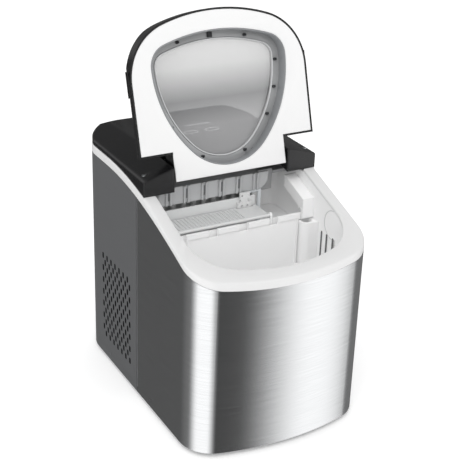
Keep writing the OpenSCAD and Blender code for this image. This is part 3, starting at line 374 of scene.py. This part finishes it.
# %% Smooth shading as a Geometry Nodes tree
shading = bpy.data.node_groups.new("smooth below an angle", "GeometryNodeTree")
shading.interface.new_socket("Geometry", in_out="INPUT", socket_type="NodeSocketGeometry")
weld_socket = shading.interface.new_socket("Weld distance", in_out="INPUT", socket_type="NodeSocketFloat")
angle_socket = shading.interface.new_socket("Sharp angle", in_out="INPUT", socket_type="NodeSocketFloat")
shading.interface.new_socket("Geometry", in_out="OUTPUT", socket_type="NodeSocketGeometry")
given = add(shading, "NodeGroupInput")
joined = add(shading, "GeometryNodeMergeByDistance", {}, {"Geometry": given.outputs["Geometry"],
                                                          "Distance": given.outputs["Weld distance"]})
round_faces = add(shading, "GeometryNodeSetShadeSmooth", {"domain": "FACE"},
                  {"Geometry": joined.outputs["Geometry"], "Shade Smooth": True})
bend = add(shading, "GeometryNodeInputMeshEdgeAngle")
gentle = add(shading, "FunctionNodeCompare", {"data_type": "FLOAT", "operation": "LESS_THAN"},
             {"A": bend.outputs["Unsigned Angle"], "B": given.outputs["Sharp angle"]})
crisp = add(shading, "GeometryNodeSetShadeSmooth", {"domain": "EDGE"},
            {"Geometry": round_faces.outputs["Geometry"], "Shade Smooth": gentle.outputs["Result"]})
add(shading, "NodeGroupOutput", {}, {"Geometry": crisp.outputs["Geometry"]})

finishes = {
    brushed_steel: ["front_shell"],
    dark_cover: ["rear_shell"],
    pan_zinc: ["base_pan"],
    foot_rubber: ["feet", "compressor_grommets"],
    rim_white: ["top_rim", "lid_liner", "tray_lever"],
    arm_white: ["sensor_arm_right", "sensor_arm_left"],
    tub_white: ["inner_tub"],
    basket_white: ["ice_basket"],
    cap_black: ["control_housing"],
    lid_black: ["lid_shell"],
    button_black: ["power_button", "select_button"],
    lens_grey: ["indicator_lens"],
    smoked: ["lid_window"],
    unit_grey: ["evaporator_shroud", "drain_cap", "tray_motor"],
    ramp_grey: ["ice_ramp", "sensor_eyes"],
    tray_white: ["water_tray", "water_pump", "drain_fitting"],
    dark_plastic: ["fan_shroud", "fan_rotor", "cord_gland", "window_clip"],
    bright_steel: ["hinge_pins", "tray_shaft", "fan_motor", "shell_screws", "base_screws",
                   "pump_strainer"],
    screw_dark: ["window_screws", "housing_screws"],
    copper: ["suction_pipe", "discharge_pipe", "liquid_pipe", "filter_drier", "solenoid_valve"],
    nickel: ["evaporator"],
    aluminium: ["condenser"],
    compressor_paint: ["compressor"],
    board_green: ["main_board", "control_board"],
    foam: ["tub_insulation"],
    hose_clear: ["pump_hose"],
}
weld, sharp_from = 0.002 * mm, math.radians(32)
for finish, names in finishes.items():
    for name in names:
        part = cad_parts[name]
        part.data.materials.clear()
        part.data.materials.append(finish)
        smooth = part.modifiers.new("smooth", "NODES")
        smooth.node_group = shading
        smooth[weld_socket.identifier] = weld
        smooth[angle_socket.identifier] = sharp_from
unfinished = set(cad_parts) - {n for names in finishes.values() for n in names}
print("parts without a finish:", unfinished or "none")

# %% [markdown]
# ## Tools for shaped pieces
# Three ways of making a body cover everything moulded here. A skin runs from one ring of points
# to the next, like a loft. A plate is a flat outline given a thickness with its edges rolled
# over, holes and all. A turned piece is a profile spun round an axis. Each hands back a finished
# closed mesh whose place is in its points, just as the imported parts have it.

# %% Mesh tools
def arc(x, y, radius, start, end, step=3.0):
    """Points of an arc, angles in degrees, lengths in millimetres."""
    count = max(1, math.ceil(abs(end - start) / step))
    turns = [math.radians(start + (end - start) * i / count) for i in range(count + 1)]
    return [(x + radius * math.cos(t), y + radius * math.sin(t)) for t in turns]


def both_halves(half):
    """A right half from front to back, with its mirror image, as one loop."""
    return half + [(-x, y) for x, y in reversed(half) if x > 0.001]


def solid(name, points, faces, finish, place=None, sharp=35):
    """A closed mesh from millimetre points, shaded smooth below an angle."""
    mesh = bpy.data.meshes.new(name)
    mesh.from_pydata([Vector(p) * mm for p in points], [], faces)
    if place is not None:
        mesh.transform(place)
    work = bmesh.new()
    work.from_mesh(mesh)
    bmesh.ops.remove_doubles(work, verts=work.verts, dist=0.0005 * mm)
    bmesh.ops.recalc_face_normals(work, faces=work.faces)
    for edge in work.edges:
        edge.smooth = len(edge.link_faces) == 2 and edge.calc_face_angle(0) < math.radians(sharp)
    for face in work.faces:
        face.smooth = True
    work.to_mesh(mesh)
    work.free()
    mesh.materials.append(finish)
    piece = bpy.data.objects.new(name, mesh)
    scene.collection.objects.link(piece)
    return piece


def build(name, points, faces, finish, body, stands_for=(), place=None, sharp=35):
    """A solid that rides on a body and stands for engineering parts, if any are named."""
    piece = solid(name, points, faces, finish, place, sharp)
    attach(piece, body)
    if stands_for:
        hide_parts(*stands_for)
    return piece


def skin(rings, ends=True):
    """Points and faces from ring to ring; ends caps the first and last."""
    size = len(rings[0])
    points = [p for ring in rings for p in ring]
    faces = [(r * size + i, r * size + (i + 1) % size, (r + 1) * size + (i + 1) % size, (r + 1) * size + i)
             for r in range(len(rings) - 1) for i in range(size)]
    if ends:
        faces += [tuple(range(size - 1, -1, -1)), tuple(range((len(rings) - 1) * size, len(rings) * size))]
    return points, faces


def inset(loop, distance):
    """A loop moved to its left side, which is inwards when it runs anticlockwise."""
    moved = []
    for i, point in enumerate(loop):
        here, before, after = Vector(point), Vector(loop[i - 1]), Vector(loop[(i + 1) % len(loop)])
        a, b = (here - before).normalized(), (after - here).normalized()
        left = Vector((-a.y, a.x)) + Vector((-b.y, b.x))
        left.normalize()
        moved.append(tuple(here + left * distance / max(0.3, left.dot(Vector((-b.y, b.x))))))
    return moved


def plate(outlines, low, high, roll):
    """An outline and its holes with thickness from low to high and edges rolled over by roll."""
    loops = [outlines[0] if area(outlines[0]) > 0 else outlines[0][::-1]]
    loops += [hole if area(hole) < 0 else hole[::-1] for hole in outlines[1:]]
    turns = [math.radians(a) for a in (0, 30, 60, 90)]
    steps = [(roll * (1 - math.sin(t)), low + roll * (1 - math.cos(t))) for t in turns]
    steps += [(roll * (1 - math.cos(t)), high - roll * (1 - math.sin(t))) for t in turns]
    points, faces, faced = [], [], []
    for loop in loops:
        start, size = len(points), len(loop)
        for depth, height in steps:
            points += [(x, y, height) for x, y in (inset(loop, depth) if depth > 1e-6 else loop)]
        faces += [(start + r * size + i, start + r * size + (i + 1) % size,
                   start + (r + 1) * size + (i + 1) % size,
                   start + (r + 1) * size + i) for r in range(len(steps) - 1) for i in range(size)]
        faced.append((start, start + (len(steps) - 1) * size, size))
    for end in (0, 1):
        rings = [[Vector(points[f[end] + i]) for i in range(f[2])] for f in faced]
        numbers = [f[end] + i for f in faced for i in range(f[2])]
        faces += [tuple(numbers[i] for i in triangle) for triangle in tessellate_polygon(rings)]
    return points, faces


def area(loop):
    """A loop's area, positive when it runs anticlockwise."""
    return sum(a[0] * b[1] - b[0] * a[1] for a, b in zip(loop, loop[1:] + loop[:1])) / 2


print("a test plate has", len(plate([[(0, 0), (9, 0), (9, 9), (0, 9)]], 0, 2, 0.5)[1]), "faces")

# %% [markdown]
# ## The body's outline and its sloping edge
# Seen from above the machine is a bow at the front, two rounded corners, straight sides and a
# rounder back. The top edge climbs along a quarter sine to the back, and the white rim lies on it
# as a flat slope that the lid shuts on. The numbers are the engineering part's own sizes in mm.

# %% Outline and heights
low_corner, high_corner = [Vector(c) / mm for c in cad_box]
front_y, back_y = low_corner.y, high_corner.y
side_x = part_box("front_shell")[1].x / mm
rim_width, rim_height = 17.0, 10.6
edge_low, edge_rise = 222.0, 70.0
arm_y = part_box("control_housing")[0].y / mm


def outline(width, front, rear, bow, corner, rear_corner, step=2.0):
    """Right half of the bowed outline, from the middle of the front to the middle of the back."""
    cy, fx = front + bow, width - corner
    fy = cy - math.sqrt((bow - corner) ** 2 - fx ** 2)
    turn = math.degrees(math.atan2(fy - cy, fx))
    return (arc(0, cy, bow, -90, turn, step / 4), arc(fx, fy, corner, turn, 0, step),
            arc(width - rear_corner, rear - rear_corner, rear_corner, 0, 90, step))


def edge_z(y):
    """Height of the shell's top edge, which levels off three quarters of the way back."""
    along = min(1, (y - front_y) / (0.75 * (back_y - front_y)))
    return edge_low + edge_rise * math.sin(math.pi / 2 * along)


slope = (edge_z(arm_y) - edge_low) / (arm_y - front_y)


def rim_z(y):
    """Height of the rim: a flat slope as far as the hinge arms, then level with the edge."""
    return edge_low + rim_height + (y - front_y) * slope if y < arm_y else edge_z(y) + rim_height


print("rim from", round(rim_z(front_y), 1), "to", round(rim_z(back_y), 1), "mm high")

# %% [markdown]
# ## The white rim
# The rim is one ring: an outer band that rolls over into the flat seat for the lid, then rolls
# down into the tub. A plain extrusion has hard edges, and it is the soft roll along the outside
# that catches the light, so the ring is lofted with one rounded section at each point of the
# outline. Behind the hinge arms the seat ends and only a narrow band runs on round the back.

# %% Build the rim
front_bow, front_corner, back_corner = 349, 44, 50
opening_bow, opening_corner, opening_back, opening_back_corner = 215, 57, 49, 10
outer_bow, outer_corner, outer_rear = outline(side_x, front_y, back_y, front_bow, front_corner,
                                              back_corner)
inner_bow, inner_corner, _ = outline(side_x - rim_width, front_y + rim_width, opening_back,
                                     opening_bow, opening_corner, opening_back_corner)


def resample(line, count):
    """The same line with a set number of points, so two lines can be paired off."""
    return [line[round(i * (len(line) - 1) / (count - 1))] for i in range(count)]


bow_points, corner_points, side_steps, band_steps = 30, 22, 8, 12
pairs = list(zip(resample(outer_bow, bow_points), resample(inner_bow, bow_points)))
pairs += list(zip(resample(outer_corner, corner_points), resample(inner_corner, corner_points)))[1:]
last_out, last_in = pairs[-1]
for i in range(1, side_steps + 1):
    t = i / side_steps
    pairs.append(((side_x, last_out[1] + (arm_y - last_out[1]) * t),
                  (side_x - rim_width, last_in[1] + (arm_y - last_in[1]) * t)))


rim_wall = 3.2


def rim_section(out, inn, over, down):
    """The rim's section: out is on the outline, inn on the opening, over and down roll the edges."""
    o, n = Vector(out), Vector(inn)
    across = (n - o).normalized()
    top_o, top_n = rim_z(out[1]), rim_z(inn[1])
    ring = [(*o, edge_z(out[1]) + 0.01)]
    for a in (0, 22, 45, 67, 90):
        t = math.radians(a)
        ring.append((*(o + across * over * (1 - math.cos(t))), top_o - over * (1 - math.sin(t))))
    for a in (90, 60, 30, 0):
        t = math.radians(a)
        ring.append((*(n - across * down * (1 - math.cos(t))), top_n - down * (1 - math.sin(t))))
    ring.append((*n, top_n - 3.0))
    ring.append((*(o + across * rim_wall), top_o - rim_wall))
    ring.append((*(o + across * rim_wall), edge_z(out[1]) + 0.01))
    return ring


# the seat for the lid has a broad roll outside and a tight one into the tub
half_rings = [rim_section(o, n, 4.2, 1.6) for o, n in pairs]
# behind the arms a narrow band runs straight back and then round the rear corner
band_width = 14
corner_centre = Vector((side_x - back_corner, back_y - back_corner))
band = [(side_x, arm_y + 0.01)]
band += [(side_x, arm_y + (corner_centre.y - arm_y) * i / band_steps) for i in range(1, band_steps)]
band += outer_rear
for i, point in enumerate(band):
    inward = Vector((-1, 0)) if i < band_steps else (corner_centre - Vector(point)).normalized()
    half_rings.append(rim_section(point, tuple(Vector(point) + inward * band_width), 2.0, 1.0))
whole = half_rings + [[(-x, y, z) for x, y, z in ring] for ring in reversed(half_rings[1:-1])]
points, faces = skin(whole + [whole[0]], ends=False)
rim = build("white_rim", points, faces, rim_white, "housing", ["top_rim"], sharp=50)
print("rim faces:", len(rim.data.polygons))

# %% [markdown]
# ## Where the lid stands
# The open lid leans back past upright on two pins behind the tub. It is easiest to draw flat, with
# its hinge edge at y = 0, its front towards -y and its outside up, and to turn into place as a
# whole. The pins give the place, and the lid reaches from them to the front of the sloping rim.

# %% Where the lid stands
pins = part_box("hinge_pins")
hinge = Vector((0, (pins[0].y + pins[1].y) / 2, (pins[0].z + pins[1].z) / 2))
lean = math.radians(17)
pin_in, pin_up = 11.3, 13.4
lid_place = (Matrix.Translation(hinge) @ Matrix.Rotation(-(math.pi / 2 + lean), 4, "X")
             @ Matrix.Translation((0, pin_in * mm, -pin_up * mm)))
seat_tilt = math.atan(slope)
seat_run = hinge.y / mm - front_y + pin_up * math.sin(seat_tilt)
lid_length = pin_in + seat_run / math.cos(seat_tilt)
lid_half, lid_bow, lid_corner = side_x - 0.2, 227, 71
tongue_length, tongue_half = 36.0, 77.0
window_side, window_back, window_front = 30, 64, 26.5


def lid_outline(shrink):
    """Right half of the lid, front edge first, down to the tongue."""
    bow, corner = lid_bow - shrink, lid_corner - shrink
    cy, fx = lid_bow - lid_length, lid_half - lid_corner
    fy = cy - math.sqrt((bow - corner) ** 2 - fx ** 2)
    turn = math.degrees(math.atan2(fy - cy, fx))
    return arc(0, cy, bow, -90, turn, 1) + arc(fx, fy, corner, turn, 0, 3)


def window_outline(shrink):
    """The window: four arcs a side that meet without a corner."""
    wide, centre, corner, side, turn = side_x - window_side, lid_length - window_back, 27, 150, 44
    side_centre = wide - side
    near = side + side_centre / math.cos(math.radians(turn))
    near_y = (side - near) * math.sin(math.radians(turn)) - centre
    top = lid_length - window_front
    rise = top - centre
    bow = ((wide - corner) ** 2 + rise ** 2 - corner ** 2) / (2 * (rise - corner))
    start = math.degrees(math.atan2(top - bow - centre, wide - corner))
    return both_halves(arc(0, bow - top, bow - shrink, -90, start, 1)
                       + arc(wide - corner, -centre, corner - shrink, start, 0, 4)[1:]
                       + arc(side_centre, -centre, side - shrink, 0, turn, 2)[1:]
                       + arc(0, near_y, near - shrink, turn, 90, 3)[1:])


print("lid is", round(lid_length, 1), "mm long")

# %% [markdown]
# ## The lid's white liner and window
# The liner is a flat moulding in the shape of the lid, cut out for the window and stepped in at
# the hinge tongue. A shallow well with clear grey walls leads down to a pale flange, held by
# small dark screws, and the smoked pane sits one step lower. The walls are darkened with painted
# shade, and the flange and its bead are paled with painted light. Each layer is a plate with
# rolled edges, or a skin between window outlines, because all of them share the window's shape.

# %% Build the liner, the well, the flange and the pane
liner_half = lid_outline(2.4)
liner_half += [(liner_half[-1][0], -tongue_length), (tongue_half, -tongue_length), (tongue_half, 0)]
points, faces = plate([both_halves(liner_half), window_outline(-1.2)], 0.0, 2.4, 0.9)
liner = build("lid_liner_plate", points, faces, liner_white, "lid", ["lid_liner"], lid_place)

# clear grey plastic, darkened with painted shade for the shaded well, and glossy like glass
well_wall_shade = moulded("clear grey SAN, well wall, painted shade", "#8a8c8e", 0.10, 0.16, 0.03, 30.0, 0.02)
# each step is how far inside the window the wall stands, and how high
well = [[(*p, z) for p in window_outline(s)] for s, z in
        ((-1.1, 2.0), (-1.1, 0.8), (-0.6, 0.2), (0.1, 0.2), (0.5, 0.8), (0.6, 14.9), (-1.6, 14.9),
         (-1.6, 2.0))]
points, faces = skin(well + [well[0]], ends=False)
well_wall = build("window_well", points, faces, well_wall_shade, "lid", ["lid_liner"], lid_place)

# the flange and its bead are the same clear plastic with painted light, so they look paler than the well
# wall
flange_lit_grey = moulded("clear grey SAN, flange, painted light", "#9a9b9c", 0.16, 0.2, 0.03, 6.0, 0.004)
points, faces = plate([window_outline(-1.9), window_outline(9.0)], 15.0, 17.4, 0.5)
flange = build("window_flange", points, faces, flange_lit_grey, "lid", ["lid_window"], lid_place)
bead_lit = moulded("clear SAN, bead, painted light", "#c9cacb", 0.08, 0.2, 0.03, 6.0, 0.002)
points, faces = plate([window_outline(9.2), window_outline(10.8)], 14.2, 18.1, 0.6)
bead = build("window_bead", points, faces, bead_lit, "lid", ["lid_window"], lid_place)
points, faces = plate([window_outline(9.9)], 18.2, 20.8, 0.4)
pane = build("smoked_pane", points, faces, smoked, "lid", ["lid_window"], lid_place)
print("faces:", {p.name: len(p.data.polygons) for p in (liner, well_wall, flange, bead, pane)})

# %% [markdown]
# ## Buttons with a printed ring
# Two oval caps stand just proud of the top cover. Each is moulded dark with a rolled top edge and
# a pale ring pad-printed near the edge, so it can be found by eye under the window. Under the
# cover a wider flange keeps the cap from falling out, and a stem reaches down to the switch.

# %% Build the buttons
def oval(x, y, straight, radius):
    """A stadium outline: two half circles joined by straight sides along X."""
    return arc(x + straight / 2, y, radius, -90, 90, 10) + arc(x - straight / 2, y, radius, 90, 270, 10)


lip, cap_height, flange_height, gap = 1.5, 6.5, 2.0, 0.1
for node in ("power_button", "select_button"):
    low, high = [Vector(c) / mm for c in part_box(node)]
    middle, flange = (low + high) / 2, (high.y - low.y) / 2
    straight, radius = high.x - low.x - 2 * flange, flange - lip
    under_cap = high.z - cap_height
    under_flange = under_cap - flange_height
    cap = plate([oval(middle.x, middle.y, straight, radius - 0.05)], under_cap + gap, high.z - 0.15, 0.8)
    collar = plate([oval(middle.x, middle.y, straight, flange - 0.05)], under_flange, under_cap, 0.3)
    stem = plate([arc(middle.x, middle.y, 2, 0, 345, 15)], low.z, under_flange - gap, 0.3)
    points, faces = [], []
    for drawn_points, drawn_faces in (cap, collar, stem):
        faces += [tuple(i + len(points) for i in face) for face in drawn_faces]
        points += drawn_points
    build(node + "_cap", points, faces, button_black, node, [node])
    printed = [oval(middle.x, middle.y, straight, radius - inside) for inside in (0.7, 2.3)]
    points, faces = plate(printed, high.z - 0.6, high.z - 0.02, 0.05)
    build(node + "_ring", points, faces, glowing_print_white, node, [node])
print("button", [round(v, 1) for v in high - low], "mm")

# %% [markdown]
# ## Copies of one small piece
# Screws, vent holes and ribs repeat one shape at many places. A Geometry Nodes tree puts the shape
# on every mark, makes the copies real and gives them their finish, so one drawing serves them all.
# The result is turned into a plain mesh and the tree is taken off again.

# %% The copying tree
copying = bpy.data.node_groups.new("copies on marks", "GeometryNodeTree")
copying.interface.new_socket("Geometry", in_out="INPUT", socket_type="NodeSocketGeometry")
part_socket = copying.interface.new_socket("Part", in_out="INPUT", socket_type="NodeSocketObject")
finish_socket = copying.interface.new_socket("Finish", in_out="INPUT", socket_type="NodeSocketMaterial")
copying.interface.new_socket("Geometry", in_out="OUTPUT", socket_type="NodeSocketGeometry")
source = add(copying, "NodeGroupInput")
drawn = add(copying, "GeometryNodeObjectInfo", {}, {"Object": source.outputs["Part"]})
placed = add(copying, "GeometryNodeInstanceOnPoints", {},
             {"Points": source.outputs["Geometry"], "Instance": drawn.outputs["Geometry"]})
real = add(copying, "GeometryNodeRealizeInstances", {}, {"Geometry": placed.outputs["Instances"]})
coloured = add(copying, "GeometryNodeSetMaterial", {},
               {"Geometry": real.outputs["Geometry"], "Material": source.outputs["Finish"]})
add(copying, "NodeGroupOutput", {}, {"Geometry": coloured.outputs["Geometry"]})


def copies(name, drawing, marks, finish, body, place, stands_for=()):
    """One drawn piece at every mark, as one plain mesh."""
    part = solid(name + "_drawing", *drawing, finish)
    mesh = bpy.data.meshes.new(name)
    mesh.from_pydata([Vector(m) * mm for m in marks], [], [])
    piece = bpy.data.objects.new(name, mesh)
    scene.collection.objects.link(piece)
    tree = piece.modifiers.new("copies", "NODES")
    tree.node_group = copying
    tree[part_socket.identifier], tree[finish_socket.identifier] = part, finish
    bpy.context.view_layer.update()
    evaluated = piece.evaluated_get(bpy.context.evaluated_depsgraph_get())
    made = bpy.data.meshes.new_from_object(evaluated)
    piece.modifiers.clear()
    piece.data = made
    made.transform(place)
    bpy.data.objects.remove(part)
    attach(piece, body)
    if stands_for:
        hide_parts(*stands_for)
    return piece


def lathe(profile, segments=20):
    """A turned solid about Z from a profile of radius and height, starting and ending on the axis."""
    turns = [2 * math.pi * i / segments for i in range(segments)]
    return skin([[(r * math.cos(t), r * math.sin(t), z) for t in turns] for r, z in profile])


print("copying tree has", len(copying.nodes), "nodes")

# %% [markdown]
# ## Window screws
# Small blackened screws hold the window's flange. The engineering part has them all in one mesh,
# so its points are sorted into one group a screw, and each group's middle is a mark. The head is
# turned from a profile with a recess, and the copying tree sets one on every mark.

# %% Turn a screw head and copy it
screw_apart = 4
screw_points = {}
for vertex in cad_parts["window_screws"].data.vertices:
    local = lid_place.inverted() @ vertex.co / mm
    nearest = [k for k in screw_points if (Vector(k) - local.xy).length < screw_apart]
    screw_points.setdefault(nearest[0] if nearest else tuple(local.xy), []).append(local)
boxes = [(Vector(map(min, zip(*spot))), Vector(map(max, zip(*spot)))) for spot in screw_points.values()]
marks = [tuple((low + high) / 2) for low, high in boxes]
depth = boxes[0][1].z - boxes[0][0].z
reach = (boxes[0][1].x - boxes[0][0].x) / 2
head = lathe([(0.05, depth / 2), (reach, depth / 2), (reach, -depth * 0.1), (reach * 0.8, -depth * 0.38),
              (reach * 0.45, -depth / 2), (reach * 0.4, -depth * 0.2), (0.05, -depth * 0.2)])
copies("window_screw_heads", head, marks, screw_dark, "lid", lid_place, ["window_screws"])
print("screws:", len(marks), "head radius", round(reach, 2), "mm")

# %% [markdown]
# ## Painted vent shade and the folded seam
# Each side of the dark cover has staggered rows of upright slots, and it is dark behind them.
# That dark is painted shade: short black ovals just under the skin, one in every slot, since a
# hole reads by the dark in it. Where the steel front ends, its edge is folded and catches a thin
# bright line.

# %% Copy the painted vent shade and fold the edge
def slot_plate(middle, straight, radius, low, high):
    """An upright oval plate, used for the painted shade in the vents and air slots."""
    top = arc(0, middle + straight / 2, radius, 0, 180, 20)
    return plate([top + arc(0, middle - straight / 2, radius, 180, 360, 20)], low, high, 0.1)


# the first slot, the pitch along and up, and how many rows; a second grid sits half a pitch off
vent_y, vent_z, pitch_y, pitch_z, rows = 22, 40, 13, 18, 7
hole = slot_plate(0, 4.4, 2.45, -0.6, 0.3)
# painted shade: matt black ovals fill the slots, so they look open and dark inside
painted_vent_shade = moulded("painted vent shade, matt black", "#070708", 0.1, 0.9, 0.05, 0.4, 0.05)
painted_vent_shade.node_tree.nodes["Principled BSDF"].inputs["Specular IOR Level"].default_value = 0.1
# a flat drawing is stood on a side wall: its x runs along the wall, its y up and its z outwards
left_side = Matrix(((0, 0, -1, 0), (-1, 0, 0, 0), (0, 1, 0, 0), (0, 0, 0, 1)))
right_side = Matrix(((0, 0, 1, 0), (1, 0, 0, 0), (0, 1, 0, 0), (0, 0, 0, 1)))
seam_y, seam_low, fold_wide = -0.3, 14, 1.6
for name, place, sign in (("left", left_side, -1), ("right", right_side, 1)):
    spots = [(sign * (vent_y + pitch_y * (i + k / 2)), vent_z + pitch_z * (j + k / 2), side_x - 0.5)
             for i in range(rows) for j in range(rows) for k in (0, 1)]
    copies("vent_screen_" + name, hole, spots, painted_vent_shade, "housing", place)
    a, b = sorted((sign * (seam_y - fold_wide), sign * seam_y))
    strip = [(a, seam_low), (b, seam_low), (b, edge_z(0) - 1), (a, edge_z(0) - 1)]
    points, faces = plate([strip], side_x - 0.8, side_x + 0.12, 0.1)
    fold = build("folded_edge_" + name, points, faces, bright_steel, "housing", place=place)
print("vent shades a side:", len(spots))

# %% [markdown]
# ## Grooves, air slots and the full mark
# The freezing cover is ribbed by pairs of narrow posts, with a darker groove between the two of a
# pair where little light gets in. Low on both tub walls are three air slots, and a moulded half
# circle marks the full line. All are thin inlays laid just proud of a plain wall, and their greys
# are painted shade: the dark of the grooves and slots, and the shade along the half circle's
# relief. What repeats is copied from one drawing.

# %% Lay the painted shade of the grooves and the air slots, and the full mark
# painted shade: these greys stand for the soft shade in a narrow groove or slot, so they are flat and nearly
# without shine
cover_low, cover_high = [Vector(c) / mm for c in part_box("evaporator_shroud")]
painted_groove_shade = moulded("painted groove shade", "#6d6e70", 0.06, 0.5, 0.05, 4.0, 0.002)
bar_low, bar_high, bar_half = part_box("water_tray")[1].z / mm + 5, cover_high.z - 4, 1.5
bar = [(-bar_half, bar_low), (bar_half, bar_low), (bar_half, bar_high), (-bar_half, bar_high)]
groove = plate([bar], 0, 0.6, 0.1)
upright = Matrix(((1, 0, 0, 0), (0, 0, -1, 0), (0, 1, 0, 0), (0, 0, 0, 1)))
first_groove, groove_pitch, post_deep, groove_count = 16.0, 24.5, 2.05, 5
spots = [(cover_low.x + first_groove + groove_pitch * i, 0, -(cover_low.y + post_deep))
         for i in range(groove_count)]
copies("shroud_grooves", groove, spots, painted_groove_shade, "housing", upright)

wall_x = side_x - rim_width
# painted shade: dark inlays over the tub's air slots stand for the shade inside them
painted_slot_shade = moulded("painted slot shade", "#5c5d5e", 0.06, 0.6, 0.05, 4.0, 0.002)
air_slot = slot_plate(199, 46, 1.4, 0, 0.5)
slot_places = (71, 82.5, 96)
for name, place, sign in (("right", left_side, 1), ("left", right_side, -1)):
    copies("air_slots_" + name, air_slot, [(sign * y, 0, -wall_x) for y in slot_places], painted_slot_shade,
           "housing", place)
# painted shade: the half circle is relief in the tub's own white, drawn as a pale grey inlay for the shade
# along its edges
mark_y, mark_z, mark_radius, mark_wide = 95, 240, 20, 1.2
mark_line = arc(mark_y, mark_z, mark_radius, 90, 270, 8)
mark_line += arc(mark_y, mark_z, mark_radius - mark_wide, 270, 90, 8)
points, faces = plate([mark_line], -wall_x, -wall_x + 0.6, 0.15)
build("full_mark", points, faces, ramp_grey, "housing", place=left_side)
print("grooves:", len(spots), "slots a side:", len(slot_places))
